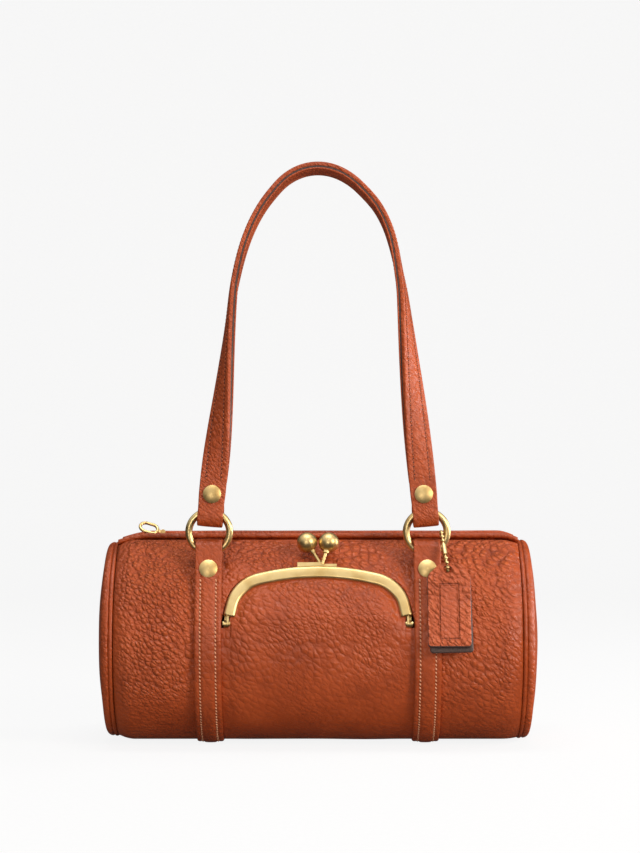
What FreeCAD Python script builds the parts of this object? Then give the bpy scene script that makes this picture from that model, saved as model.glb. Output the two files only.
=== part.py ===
import FreeCAD, Part
import math
import os

# Barrel bag with a zip top, one shoulder strap on two rings, a kiss-lock front pocket and a hang tag.
# Millimetres. X runs along the barrel, -Y is the front, Z is up. The origin lies under the middle of the base.

# Barrel body
barrel_radius = 61.5
base_sag = 3.0
base_fillet = 20.0
leather = 1.8
panel_half_length = 118.0
taper_length = 10.0
taper_drop = 3.6
end_sag = 0.3
taper_steps = 3
seam_gap = 0.1
overrun = 30.0

# Domed ends and their piping
piping_radius = 2.0
piping_proud = 0.4
end_step = 0.2
dome_rise = 8.2
dome_shoulder = 7.0

# Lining and base board
lining = 0.7
end_lining_inset = 0.6
end_lining_clear = 0.4
board_inset = 20.0
board_half_width = 14.5
board_thickness = 1.6

# Zip
slot_half_width = 15.5
slot_clear = 0.5
facing_inset = 6.5
facing_inner = 5.0
facing_thickness = 1.8
roll_radius = 2.3
roll_overhang = 0.4
tape_thickness = 0.8
tape_edge_clear = 0.7
tooth_pitch = 3.0
tooth_length = 1.35
tooth_reach = 3.05
tooth_cross = 0.9
tooth_half_height = 1.25
teeth_left_inset = 17.0
teeth_right_inset = 8.5
stop_length = 2.0
stop_gap = 0.5
slider_inset = 18.5
slider_length = 11.0
slider_half_width = 4.4
slider_wall = 1.1
slider_tooth_gap = 0.25
slider_tape_gap = 0.2
slider_flange = 1.0
slider_post_length = 2.4
slider_post_half_width = 1.2
lug_thickness = 1.0
lug_radius = 1.5
pull_pin_radius = 0.7
pull_pin_clear = 0.06
pull_side_clear = 0.15
pull_eye_radius = 1.6
pull_eye_half_width = 0.8
pull_eye_gap = 0.3
pull_loop_length = 12.6
pull_loop_width = 9.2
pull_wire_radius = 0.95
pull_neck = 1.6
pull_roll = 40.0
pull_pitch = 16.0

# Bands and rings
frame_to_band = 0.1
band_width = 15.6
band_thickness = 1.9
band_back_end = 19.0
ring_radius = 11.9
ring_wire_radius = 2.1
ring_forward_share = 2 / 3
ring_over_top = 4.0
loop_clear = 0.4
band_pinch = 9.6
band_tail = 21.0
band_rivet_at = 13.6

# Rivets
rivet_cap_radius = 5.3
rivet_rim = 0.6
rivet_crown = 1.8
rivet_post_radius = 1.5
rivet_hole_clear = 0.05
rivet_back_radius = 3.6
rivet_back_thickness = 0.9

# Strap
strap_width = 15.6
strap_layer = 1.5
strap_backing = 1.6
strap_foot_inset = 0.8
strap_lean = 9.5
strap_tilt = 5.06
strap_rise = 208.6
strap_crown_radius = 30.0
strap_crown_angle = 52.0
strap_pinch = 8.1
strap_end = 20.0
strap_rivet_at = 12.0
strap_twist_ends = {-1: 145.0, 1: 165.0}
strap_twist_powers = {-1: 2.0, 1: 1.35}
leg_steps = 9
shoulder_steps = 8
crown_steps = 6

# Kiss-lock frame
hinge_height = 13.5
hinge_inset = 1.1
frame_top_proud = 2.2
frame_half_width = 55.4
frame_height = 34.8
frame_top_radius = 140.0
frame_shoulder_radius = 24.0
frame_leg_angle = 78.0
frame_bar = 6.8
frame_thickness = 3.2
frame_parting = 0.2
frame_foot = 4.0
channel_width = 1.6
channel_depth = 3.6
ear_thickness = 1.2
ear_gap = 0.2
ear_radius = 2.4
ear_inset = 4.2
ear_reach = 1.5
pin_radius = 1.0
pin_clear = 0.05
pin_head_radius = 1.7
pin_head = 0.6
mouth_clear = 0.5
mouth_drop = 1.7
mouth_notch = 3.0
ball_radius = 6.0
ball_gap = 0.7
ball_height = 15.2
clasp_rod_radius = 1.1
clasp_rod_depth = 1.5
clasp_plate_height = 2.2
clasp_plate_long = 15.4
clasp_plate_short = 9.6
clasp_plate_inset = 2.4
clasp_plate_low = 0.3
clasp_plate_thickness = 2.0
clasp_collar_radius = 1.9
clasp_collar = 1.2
flap_leather = 1.4
flap_edge_gap = 0.4
flap_bottom = 1.3
crease_gap = 0.3
crease_end_inset = 5.9
pouch_inset = 5.4
pouch_depth = 26.0
pouch_low = 28.0
pouch_high = 38.0
pouch_gap = 0.4

# Hang tag and ball chain
tag_lean = 17.0
tag_stand_off = 0.6
tag_hole_beside_ring = 11.4
tag_hole_below_ring = 21.3
tag_leaf = 2.1
tag_leaf_gap = 0.1
tag_half_width = 12.4
tag_shift = 0.6
tag_top_half_width = 5.0
tag_clip = 7.2
tag_above_hole = 3.8
tag_below_hole = 45.5
tag_back_extra = 3.0
tag_back_turn = 2.5
tag_hole_radius = 2.4
chain_top_radius = 7.2
chain_before_ring = 1.4
chain_below_ring = 6.8
chain_tip_radius = 4.0
chain_side_tilt = 8.0
bead_radius = 1.1
bead_count = 22
link_radius = 0.4
connector_length = 7.0
connector_radius = 1.3
connector_clear = 0.05
connector_place_share = 0.66

# Derived places
base_z = band_thickness + seam_gap
axis_z = base_z - base_sag + barrel_radius
facing_half_length = panel_half_length - facing_inset
slot_half_length = facing_half_length + slot_clear
teeth_first_x = teeth_left_inset - facing_half_length
teeth_last_x = facing_half_length - teeth_right_inset
slider_x = slider_inset - facing_half_length
board_half_length = panel_half_length - board_inset
band_x = frame_half_width + frame_to_band + band_width / 2
strap_foot_x = band_x - strap_foot_inset
crease_half_length = frame_half_width - crease_end_inset
pouch_half_width = frame_half_width - pouch_inset
ring_y = -barrel_radius * ring_forward_share
ring_z = axis_z + barrel_radius + ring_over_top
tag_hole_x = band_x + tag_hole_beside_ring
tag_hole_z = ring_z - tag_hole_below_ring
chain_top_y = ring_y - chain_before_ring
chain_top_z = ring_z - chain_below_ring
top_edge_z = axis_z + math.sqrt(barrel_radius ** 2 - slot_half_width ** 2)
facing_z = top_edge_z + seam_gap
tape_z = facing_z - tape_thickness
teeth_z = tape_z + tape_thickness / 2
hinge_y = hinge_inset - math.sqrt(barrel_radius ** 2 - hinge_height ** 2)
hinge_z = axis_z + hinge_height
piping_x = panel_half_length + seam_gap + piping_radius
dome_x = piping_x + piping_radius + seam_gap
dome_radius = barrel_radius - taper_drop - end_step
band_outer = barrel_radius + seam_gap + band_thickness


def ring_loop(half_width):
    # Distance from the ring's centre, and bore, of a fold that clears the curved wire over this half width.
    far = ring_radius + ring_wire_radius
    near = math.sqrt((ring_radius - ring_wire_radius) ** 2 - half_width ** 2)
    return (far + near) / 2, (far - near) / 2 + loop_clear


band_loop_drop, band_bore = ring_loop(band_width / 2)
strap_loop_rise, strap_bore = ring_loop(strap_width / 2 + band_x - strap_foot_x)
band_loop_z = ring_z - band_loop_drop
strap_loop_z = ring_z + strap_loop_rise
band_loop_radius = band_bore + band_thickness
strap_loop_radius = strap_bore + strap_layer

X = FreeCAD.Vector(1, 0, 0)
Y = FreeCAD.Vector(0, 1, 0)
Z = FreeCAD.Vector(0, 0, 1)


def point(x, y, z):
    return FreeCAD.Vector(x, y, z)


def place(shape, origin, x_dir, y_dir, z_dir):
    # Moves a shape drawn in its own flat frame to the frame with these axes.
    matrix = FreeCAD.Matrix(x_dir.x, y_dir.x, z_dir.x, origin.x,
                            x_dir.y, y_dir.y, z_dir.y, origin.y,
                            x_dir.z, y_dir.z, z_dir.z, origin.z)
    moved = shape.copy()
    moved.Placement = FreeCAD.Placement(matrix).multiply(moved.Placement)
    return moved


def polygon(points):
    kept = []
    for corner in points:
        if not kept or corner.distanceToPoint(kept[-1]) > Part.Precision.approximation():
            kept.append(corner)
    return Part.Face(Part.makePolygon(kept + [kept[0]]))


def arc(start, middle, end):
    return Part.Arc(start, middle, end).toShape()


def box(low, high):
    size = high - low
    return Part.makeBox(size.x, size.y, size.z, low)


def rod(start, end, radius):
    way = end - start
    return Part.makeCylinder(radius, way.Length, start, way)


def save(node, shape):
    shape.exportStep("parts/" + node + ".step")


# Barrel body

def barrel_outline(x, offset, drop=0.0, sag=base_sag):
    # A circle whose base is flattened by the sag, with a fillet on each side of the flat.
    radius = barrel_radius - drop
    low = axis_z - radius + sag - offset
    fillet_z = axis_z - radius + sag + base_fillet
    half = math.sqrt((radius - base_fillet) ** 2 - (radius - sag - base_fillet) ** 2)
    turn = math.atan2(half, axis_z - fillet_z)
    outer = radius + offset
    bend = base_fillet + offset

    def on_circle(angle):
        return point(x, outer * math.sin(angle), axis_z - outer * math.cos(angle))

    def on_fillet(side, angle):
        return point(x, side * (half + bend * math.sin(angle)), fillet_z - bend * math.cos(angle))

    edges = [Part.makeLine(point(x, -half, low), point(x, half, low)),
             arc(point(x, half, low), on_fillet(1, turn / 2), on_circle(turn)),
             arc(on_circle(turn), point(x, outer, axis_z), point(x, 0, axis_z + outer)),
             arc(point(x, 0, axis_z + outer), point(x, -outer, axis_z), on_circle(-turn)),
             arc(on_circle(-turn), on_fillet(-1, turn / 2), point(x, -half, low))]
    return Part.Wire(edges)


def barrel_solid(offset, reach=0.0):
    # The body's outer form: straight in the middle, drawn in towards both ends.
    stations = []
    for step in range(taper_steps + 1):
        part = step / taper_steps
        fall = 1 - math.cos(part * math.pi / 2)
        x = panel_half_length - taper_length + part * taper_length
        stations.append((x, taper_drop * fall, base_sag + (end_sag - base_sag) * fall))
    if reach:
        stations.append((panel_half_length + reach, taper_drop, end_sag))
    left = [(-x, drop, sag) for x, drop, sag in reversed(stations)]
    wires = [barrel_outline(x, offset, drop, sag) for x, drop, sag in left + stations]
    return Part.makeLoft(wires, True, True)


def zip_slot():
    return box(point(-slot_half_length, -slot_half_width, axis_z),
               point(slot_half_length, slot_half_width, axis_z + barrel_radius + overrun))


def body_panel():
    shell = barrel_solid(0).cut(barrel_solid(-leather, overrun))
    return shell.cut(zip_slot()).cut(mouth_cutter())


def body_lining():
    outer = -leather - seam_gap
    shell = barrel_solid(outer).cut(barrel_solid(outer - lining, overrun))
    return shell.cut(zip_slot()).cut(pouch_block(seam_gap)).cut(mouth_cutter())


def end_panel(side):
    # Shoulder arc and crown arc, tangent to each other, turned about the barrel's axis.
    reach = dome_radius - dome_shoulder
    crown = (reach ** 2 + dome_rise ** 2 - dome_shoulder ** 2) / (2 * (dome_rise - dome_shoulder))
    turn = math.atan2(crown - dome_rise, reach)

    def profile(inset):
        shoulder = dome_shoulder - inset
        big = crown - inset
        rim = point(dome_x, 0, axis_z + dome_radius - inset)
        bend = point(dome_x + shoulder * math.sin(turn / 2), 0, axis_z + reach + shoulder * math.cos(turn / 2))
        meet = point(dome_x + shoulder * math.sin(turn), 0, axis_z + reach + shoulder * math.cos(turn))
        centre_x = dome_x + dome_rise - crown
        half = (math.pi / 2 - turn) / 2
        mid = point(centre_x + big * math.cos(half), 0, axis_z + big * math.sin(half))
        tip = point(centre_x + big, 0, axis_z)
        return rim, bend, meet, mid, tip

    a, b, c, d, e = profile(0)
    f, g, h, i, j = profile(leather)
    wire = Part.Wire([arc(a, b, c), arc(c, d, e), Part.makeLine(e, j), arc(j, i, h), arc(h, g, f),
                      Part.makeLine(f, a)])
    dome = Part.Face(wire).revolve(point(0, 0, axis_z), X, 360)
    if side < 0:
        dome = dome.mirror(point(0, 0, 0), X)
    return dome


def piping(side):
    around = barrel_radius - taper_drop + piping_proud - piping_radius
    return Part.makeTorus(around, piping_radius, point(side * piping_x, 0, axis_z), X)


def end_lining(side):
    radius = barrel_radius - taper_drop - leather - seam_gap - lining - end_lining_clear - end_sag
    inner = panel_half_length - end_lining_inset - lining
    return Part.makeCylinder(radius, lining, point(side * inner, 0, axis_z), X * side)


def base_board():
    low = base_z + leather + seam_gap + lining + seam_gap
    return box(point(-board_half_length, -board_half_width, low),
               point(board_half_length, board_half_width, low + board_thickness))


# Zip

def zip_facing(side):
    plate = box(point(-facing_half_length, facing_inner, facing_z),
                point(facing_half_length, slot_half_width + roll_overhang, facing_z + facing_thickness))
    start = point(-facing_half_length, slot_half_width + roll_overhang, facing_z + roll_radius)
    roll = Part.makeCylinder(roll_radius, 2 * facing_half_length, start, X)
    return turned(plate.fuse(roll), side)


def turned(shape, side):
    # Drawn at the back; the front one is its mirror image.
    if side < 0:
        shape = shape.mirror(point(0, 0, 0), Y)
    return shape


def zip_tape(side):
    tape = box(point(-facing_half_length, tooth_reach, tape_z),
               point(facing_half_length, slot_half_width - tape_edge_clear, facing_z))
    return turned(tape, side)


def zip_teeth(side):
    teeth = []
    count = int((teeth_last_x - teeth_first_x) / tooth_pitch)
    shift = 0 if side < 0 else tooth_pitch / 2
    for number in range(count):
        x = teeth_first_x + number * tooth_pitch + shift
        teeth.append(turned(box(point(x, -tooth_cross, teeth_z - tooth_half_height),
                                point(x + tooth_length, tooth_reach, teeth_z + tooth_half_height)), side))
    return Part.makeCompound(teeth)


def zip_stops():
    left = slider_x - slider_length / 2 - stop_gap
    stops = []
    for x in (left - stop_length, teeth_last_x + stop_gap):
        stops.append(box(point(x, -tooth_reach, teeth_z - tooth_half_height),
                         point(x + stop_length, tooth_reach, teeth_z + tooth_half_height)))
    return Part.makeCompound(stops)


def slider_levels():
    inner_low = teeth_z - tooth_half_height - slider_tooth_gap
    inner_high = teeth_z + tooth_half_height + slider_tooth_gap
    return inner_low, inner_high


def pull_axis():
    top = slider_levels()[1] + slider_wall
    return point(slider_x, 0, top + pull_eye_gap + pull_eye_radius)


def zip_slider():
    low, high = slider_levels()
    left = slider_x - slider_length / 2
    right = slider_x + slider_length / 2
    body = box(point(left, -slider_half_width, high), point(right, slider_half_width, high + slider_wall))
    pieces = [box(point(left, -slider_half_width, low - slider_wall), point(right, slider_half_width, low)),
              box(point(left, -slider_post_half_width, low),
                  point(left + slider_post_length, slider_post_half_width, high))]
    rail = slider_half_width - slider_flange
    axis = pull_axis()
    lug_inner = pull_eye_half_width + pull_side_clear
    for side in (-1, 1):
        pieces.append(turned(box(point(left, rail, facing_z + slider_tape_gap),
                                 point(right, slider_half_width, high)), side))
        pieces.append(turned(box(point(left, rail, low),
                                 point(right, slider_half_width, tape_z - slider_tape_gap)), side))
        lug = box(point(slider_x - lug_radius, lug_inner, high), point(slider_x + lug_radius,
                                                                      lug_inner + lug_thickness, axis.z))
        cheek = Part.makeCylinder(lug_radius, lug_thickness, axis + Y * lug_inner, Y)
        pieces.append(turned(lug.fuse(cheek), side))
    span = lug_inner + lug_thickness
    pieces.append(rod(axis - Y * span, axis + Y * span, pull_pin_radius))
    return body.multiFuse(pieces).removeSplitter()


def stadium(length, width):
    # Closed centre line of a wire loop with round ends, in the XY plane about the origin.
    radius = width / 2
    run = length / 2 - radius
    return Part.Wire([Part.makeLine(point(-run, radius, 0), point(run, radius, 0)),
                      arc(point(run, radius, 0), point(run + radius, 0, 0), point(run, -radius, 0)),
                      Part.makeLine(point(run, -radius, 0), point(-run, -radius, 0)),
                      arc(point(-run, -radius, 0), point(-run - radius, 0, 0), point(-run, radius, 0))])


def tube_on(path, start, way, radius):
    circle = Part.Wire(Part.makeCircle(radius, start, way))
    return path.makePipeShell([circle], True, True)


def zip_pull():
    wire = 2 * pull_wire_radius
    path = stadium(pull_loop_length - wire, pull_loop_width - wire)
    loop = tube_on(path, point(0, (pull_loop_width - wire) / 2, 0), X, pull_wire_radius)
    loop.rotate(point(0, 0, 0), X, pull_roll)
    loop.translate(X * -(pull_eye_radius + pull_neck / 2 + pull_loop_length / 2))
    width = pull_eye_half_width
    eye = Part.makeCylinder(pull_eye_radius, 2 * width, point(0, -width, 0), Y)
    neck = box(point(-pull_eye_radius - pull_neck / 2 - pull_wire_radius, -width, -width), point(0, width, width))
    hole = Part.makeCylinder(pull_pin_radius + pull_pin_clear, 2 * overrun, point(0, -overrun, 0), Y)
    pull = loop.multiFuse([eye, neck]).cut(hole)
    pull.rotate(point(0, 0, 0), Y, pull_pitch)
    pull.translate(pull_axis())
    return pull


# Folds round the rings, rivets and bands

def fold_face(loop_radius, layer, pinch, tail, end):
    # Strip folded round a ring, drawn flat: x runs along the strip from the loop's middle, y runs in from
    # the strip's face. The return layer slants back to the pinch and lies on the strip as far as the tail.
    bore = loop_radius - layer
    centre = point(0, loop_radius, 0)
    corner = point(pinch, 2 * layer, 0)
    reach = corner - centre
    turn = math.atan2(reach.y, reach.x) + math.acos(loop_radius / reach.Length)
    out = point(math.cos(turn), math.sin(turn), 0)
    touch = centre + out * loop_radius
    inner_touch = centre + out * bore
    along = (corner - touch).normalize()
    inner_corner = inner_touch + along * ((layer - inner_touch.y) / along.y)
    far = point(-loop_radius, loop_radius, 0)
    inner_far = point(-bore, loop_radius, 0)
    start = point(0, 0, 0)
    lines = [start, point(end, 0, 0)]
    if tail < end:
        lines += [point(end, layer, 0), point(tail, layer, 0)]
    lines += [point(tail, 2 * layer, 0), corner, touch]
    edges = [Part.makeLine(a, b) for a, b in zip(lines, lines[1:])]
    outer = Part.Wire(edges + [arc(touch, far, start)])
    inner_start = point(0, layer, 0)
    hole = Part.Wire([Part.makeLine(inner_start, inner_corner), Part.makeLine(inner_corner, inner_touch),
                      arc(inner_touch, inner_far, inner_start)])
    return Part.Face(outer).cut(Part.Face(hole))


def rivet_solid(layers):
    # Drawn with its cap's seat at the origin and its post along +Z.
    rim = point(rivet_cap_radius, 0, -rivet_rim)
    crown = point(0, 0, -rivet_crown)
    rise = rivet_crown - rivet_rim
    dome = (rivet_cap_radius ** 2 + rise ** 2) / (2 * rise)
    half = math.asin(rivet_cap_radius / dome) / 2
    middle = point(dome * math.sin(half), 0, -rivet_crown + dome * (1 - math.cos(half)))
    wire = Part.Wire([Part.makeLine(point(0, 0, 0), point(rivet_cap_radius, 0, 0)),
                      Part.makeLine(point(rivet_cap_radius, 0, 0), rim),
                      arc(rim, middle, crown), Part.makeLine(crown, point(0, 0, 0))])
    cap = Part.Face(wire).revolve(point(0, 0, 0), Z, 360)
    post = Part.makeCylinder(rivet_post_radius, layers)
    back = Part.makeCylinder(rivet_back_radius, rivet_back_thickness, Z * layers)
    return cap.multiFuse([post, back])


def rivet_hole(layers):
    return Part.makeCylinder(rivet_post_radius + rivet_hole_clear, layers + overrun, Z * -layers)


def band_frame(side):
    # The band's straight run touches both the loop and the wrap, so its lean follows from their sizes.
    loop = point(side * band_x, ring_y, band_loop_z)
    reach = math.hypot(ring_y, band_loop_z - axis_z)
    rise = math.atan2(band_loop_z - axis_z, -ring_y)
    lean = rise - math.acos((band_outer - band_loop_radius) / reach)
    run = math.sqrt(reach ** 2 - (band_outer - band_loop_radius) ** 2)
    out = point(0, -math.cos(lean), math.sin(lean))
    down = point(0, -math.sin(lean), -math.cos(lean))
    return loop + out * band_loop_radius, down, out, run


def band(side):
    face_start, down, out, run = band_frame(side)
    fold = fold_face(band_loop_radius, band_thickness, band_pinch, band_tail, run)
    fold = fold.extrude(Z * band_width)
    fold.translate(Z * (-band_width / 2))
    fold = place(fold, face_start, down, -out, X)
    left = side * band_x - band_width / 2
    ring = Part.Face(barrel_outline(left, seam_gap + band_thickness)).cut(Part.Face(barrel_outline(left, seam_gap)))
    middle = point(left, 0, axis_z)
    far = 2 * band_outer
    back_angle = math.asin(band_back_end / band_outer)
    back = point(0, math.sin(back_angle), math.cos(back_angle))
    open_top = polygon([middle, middle + out * far, middle + out * far + Z * far, middle + back * far])
    wrap = ring.cut(open_top).extrude(X * band_width)
    hole = place(rivet_hole(2 * band_thickness), face_start + down * band_rivet_at, X, X.cross(out), -out)
    return wrap.fuse(fold).removeSplitter().cut(hole)


def band_rivet(side):
    face_start, down, out, run = band_frame(side)
    return place(rivet_solid(2 * band_thickness), face_start + down * band_rivet_at, X, X.cross(out), -out)


def ring(side):
    return Part.makeTorus(ring_radius, ring_wire_radius, point(side * band_x, ring_y, ring_z), Y)


# Strap

lean_angle = math.radians(strap_lean)
strap_up = point(0, math.sin(lean_angle), math.cos(lean_angle))
strap_front = point(0, -math.cos(lean_angle), math.sin(lean_angle))
strap_plane = point(0, ring_y, strap_loop_z) + strap_front * (strap_loop_radius - strap_layer)


def strap_stations(side):
    # Places from the end of the fold to the crown: distance across, height and the turn of the outward normal.
    leg = math.radians(90 - strap_tilt)
    crown = math.radians(strap_crown_angle)
    crown_h = strap_rise - strap_crown_radius
    shoulder = ((strap_foot_x * math.sin(leg) - crown_h * math.cos(leg)
                 - strap_crown_radius * math.cos(leg - crown)) / (1 - math.cos(leg - crown)))
    centre_x = (strap_crown_radius - shoulder) * math.sin(crown)
    centre_h = crown_h + (strap_crown_radius - shoulder) * math.cos(crown)
    leg_end_h = centre_h + shoulder * math.cos(leg)
    start_h = strap_end * math.sin(leg)
    stations = []
    for step in range(leg_steps):
        h = start_h + (leg_end_h - start_h) * step / leg_steps
        stations.append((strap_foot_x - h / math.tan(leg), h, leg))
    for step in range(shoulder_steps):
        turn = leg + (crown - leg) * step / shoulder_steps
        stations.append((centre_x + shoulder * math.sin(turn), centre_h + shoulder * math.cos(turn), turn))
    for step in range(crown_steps + 1):
        turn = crown * (1 - step / crown_steps)
        stations.append((strap_crown_radius * math.sin(turn), crown_h + strap_crown_radius * math.cos(turn), turn))
    return [(side * x, h, side * turn) for x, h, turn in stations]


def strap_section(side, x, h, turn, deep, shallow):
    # Rectangle across the strap. Its face looks forward at the ring and outward from the end of the twist on.
    start = strap_stations(side)[0][1]
    part = min(1.0, max(0.0, (h - start) / (strap_twist_ends[side] - start)))
    twist = math.pi / 2 * (1 - (1 - part) ** strap_twist_powers[side])
    normal = X * math.sin(turn) + strap_up * math.cos(turn)
    along = X * math.cos(turn) - strap_up * math.sin(turn)
    face = strap_front * math.cos(twist) + normal * math.sin(twist)
    across = along.cross(face) * (strap_width / 2)
    middle = strap_plane + X * x + strap_up * h
    corners = [middle + across + face * deep, middle - across + face * deep,
               middle - across + face * shallow, middle + across + face * shallow]
    return Part.makePolygon(corners + corners[:1])


def strap_run(deep, shallow):
    places = [(-1,) + spot for spot in strap_stations(-1)]
    places += [(1,) + spot for spot in reversed(strap_stations(1)[:-1])]
    wires = [strap_section(side, x, h, turn, deep, shallow) for side, x, h, turn in places]
    return Part.makeLoft(wires, True, True)


def strap_frame(side):
    tilt = math.radians(strap_tilt)
    along = X * (-side * math.sin(tilt)) + strap_up * math.cos(tilt)
    start = strap_plane + X * (side * strap_foot_x) + strap_front * strap_layer
    return start, along


def strap():
    run = strap_run(-strap_layer, strap_layer)
    for side in (-1, 1):
        start, along = strap_frame(side)
        fold = fold_face(strap_loop_radius, strap_layer, strap_pinch, strap_end, strap_end)
        fold = fold.extrude(Z * strap_width)
        fold.translate(Z * (-strap_width / 2))
        fold = place(fold, start, along, -strap_front, along.cross(-strap_front))
        hole = place(rivet_hole(2 * strap_layer), start + along * strap_rivet_at,
                     along, (-strap_front).cross(along), -strap_front)
        run = run.fuse(fold.cut(hole))
    return run


def strap_backing_strip():
    high = -strap_layer - seam_gap
    return strap_run(high - strap_backing, high)


def strap_rivet(side):
    start, along = strap_frame(side)
    return place(rivet_solid(2 * strap_layer), start + along * strap_rivet_at,
                 along, (-strap_front).cross(along), -strap_front)


# Kiss-lock frame. Drawn flat: x across, y up the arch from the hinge line, z out of the bag's front.

def frame_lean():
    # The lean that brings the top of the arch to its stand-off from the barrel.
    reach = math.hypot(hinge_y, hinge_height)
    top = barrel_radius + frame_top_proud
    drop = (top ** 2 - reach ** 2 - frame_height ** 2) / (2 * frame_height * reach)
    return math.atan2(hinge_height, -hinge_y) - math.asin(drop)


def to_frame(shape):
    lean = frame_lean()
    up = point(0, math.sin(lean), math.cos(lean))
    out = point(0, -math.cos(lean), math.sin(lean))
    return place(shape, point(0, hinge_y, hinge_z), X, up, out)


def arch_face(inset, foot):
    # Legs, shoulders and top of the arch, each tangent to the next, drawn in by the inset.
    leg = math.radians(frame_leg_angle)
    top = frame_top_radius
    bend = frame_shoulder_radius
    reach = frame_half_width * math.sin(leg) - bend - (frame_height - top) * math.cos(leg)
    crown = leg - math.acos(reach / (top - bend))

    def on_top(angle):
        return point((top - inset) * math.sin(angle), frame_height - top + (top - inset) * math.cos(angle), 0)

    def on_bend(side, angle):
        x = (top - bend) * math.sin(crown) + (bend - inset) * math.sin(angle)
        y = frame_height - top + (top - bend) * math.cos(crown) + (bend - inset) * math.cos(angle)
        return point(side * x, y, 0)

    knee = on_bend(1, leg)
    ankle_x = knee.x + (knee.y - foot) / math.tan(leg)
    half = (crown + leg) / 2
    edges = [Part.makeLine(point(-ankle_x, foot, 0), on_bend(-1, leg)),
             arc(on_bend(-1, leg), on_bend(-1, half), on_top(-crown)),
             arc(on_top(-crown), on_top(0), on_top(crown)),
             arc(on_top(crown), on_bend(1, half), on_bend(1, leg)),
             Part.makeLine(on_bend(1, leg), point(ankle_x, foot, 0)),
             Part.makeLine(point(ankle_x, foot, 0), point(-ankle_x, foot, 0))]
    return Part.Face(Part.Wire(edges))


def slab(face, low, high):
    solid = face.extrude(Z * (high - low))
    solid.translate(Z * low)
    return solid


def ear_places():
    # The front half's ear lies inside the back half's ear.
    outer = frame_half_width - ear_inset + ear_thickness
    return {1: outer - ear_thickness, -1: outer + ear_gap}


def frame_half(front):
    low = frame_parting / 2 if front > 0 else -frame_parting / 2 - frame_thickness
    high = low + frame_thickness
    bar = arch_face(0, frame_foot).cut(arch_face(frame_bar, frame_foot - overrun))
    half = slab(bar, low, high)
    middle = (low + high) / 2
    groove = arch_face(frame_bar - channel_depth, frame_foot - overrun)
    half = half.cut(slab(groove, middle - channel_width / 2, middle + channel_width / 2))
    inner = ear_places()[front]
    ears = []
    holes = []
    for side in (-1, 1):
        start = inner if side > 0 else -inner - ear_thickness
        ears.append(Part.makeCylinder(ear_radius, ear_thickness, X * start, X))
        ear_low = frame_parting / 2 if front > 0 else -ear_radius
        ear_high = ear_radius if front > 0 else -frame_parting / 2
        ears.append(box(point(start, 0, ear_low),
                        point(start + ear_thickness, frame_foot + ear_reach, ear_high)))
        holes.append(Part.makeCylinder(pin_radius + pin_clear, ear_thickness, X * start, X))
    return to_frame(half.multiFuse(ears).cut(Part.makeCompound(holes)).removeSplitter())


def hinge_pin(side):
    inner = ear_places()[1] - ear_gap
    outer = ear_places()[-1] + ear_thickness + ear_gap
    pin = rod(X * inner, X * outer, pin_radius)
    heads = [Part.makeCylinder(pin_head_radius, pin_head, X * (inner - pin_head), X),
             Part.makeCylinder(pin_head_radius, pin_head, X * outer, X)]
    pin = pin.multiFuse(heads)
    if side < 0:
        pin = pin.mirror(point(0, 0, 0), X)
    return to_frame(pin)


def clasp_places(front):
    # The front post leans to the right ball and the back post to the left one.
    ball = point(front * (ball_radius + ball_gap / 2), frame_height + ball_height, 0)
    foot = point(clasp_plate_inset, frame_height + clasp_plate_height / 2, front * clasp_rod_depth)
    return ball, foot


def clasp_post(front):
    ball, foot = clasp_places(front)
    depths = sorted((front * clasp_plate_low, front * (clasp_plate_low + clasp_plate_thickness)))
    edge = foot.x + front * clasp_rod_radius
    length = clasp_plate_long if front > 0 else clasp_plate_short
    ends = sorted((edge, edge - front * length))
    plate = box(point(ends[0], frame_height - clasp_plate_height, depths[0]),
                point(ends[1], frame_height + clasp_plate_height, depths[1]))
    way = (ball - foot).normalize()
    shaft = rod(foot, ball, clasp_rod_radius)
    collar = rod(ball - way * (ball_radius + clasp_collar), ball, clasp_collar_radius)
    post = plate.multiFuse([shaft, collar]).cut(Part.makeSphere(ball_radius, ball))
    return to_frame(post).cut(frame_half(front))


def clasp_ball(front):
    ball, foot = clasp_places(front)
    return to_frame(Part.makeSphere(ball_radius, ball))


def flap_levels():
    middle = (frame_parting + frame_thickness) / 2
    return middle - flap_leather / 2, middle + flap_leather / 2


def pocket_flap():
    low, high = flap_levels()
    face = arch_face(frame_bar - channel_depth + flap_edge_gap, flap_bottom)
    ankle = frame_half_width - ear_inset - pin_head - 2 * ear_gap
    trim = box(point(-ankle, 0, low - overrun), point(ankle, frame_height, high + overrun))
    top = box(point(-frame_half_width, frame_foot + ear_reach + ear_gap, low - overrun),
              point(frame_half_width, frame_height, high + overrun))
    return to_frame(slab(face, low, high).common(trim.fuse(top)))


def pocket_crease():
    low, high = flap_levels()
    return to_frame(box(point(-crease_half_length, crease_gap - mouth_drop, low),
                        point(crease_half_length, flap_bottom - crease_gap, high)))


def mouth_cutter():
    opening = slab(arch_face(-mouth_clear, -mouth_drop), -overrun, overrun)
    notch_in = ear_places()[1] - ear_gap - pin_head - mouth_clear
    notch_out = frame_half_width + mouth_clear
    notches = []
    for side in (-1, 1):
        ends = sorted((side * notch_in, side * notch_out))
        notches.append(box(point(ends[0], -mouth_notch, -overrun), point(ends[1], 0, overrun)))
    return to_frame(opening.multiFuse(notches))


def pouch_block(grow):
    front = -barrel_radius
    return box(point(-pouch_half_width - grow, front, hinge_z - pouch_low - grow),
               point(pouch_half_width + grow, hinge_y + pouch_depth + grow, hinge_z + pouch_high + grow))


def pouch_round(inset):
    radius = barrel_radius - leather - seam_gap - inset
    return Part.makeCylinder(radius, 2 * panel_half_length, point(-panel_half_length, 0, axis_z), X)


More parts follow.
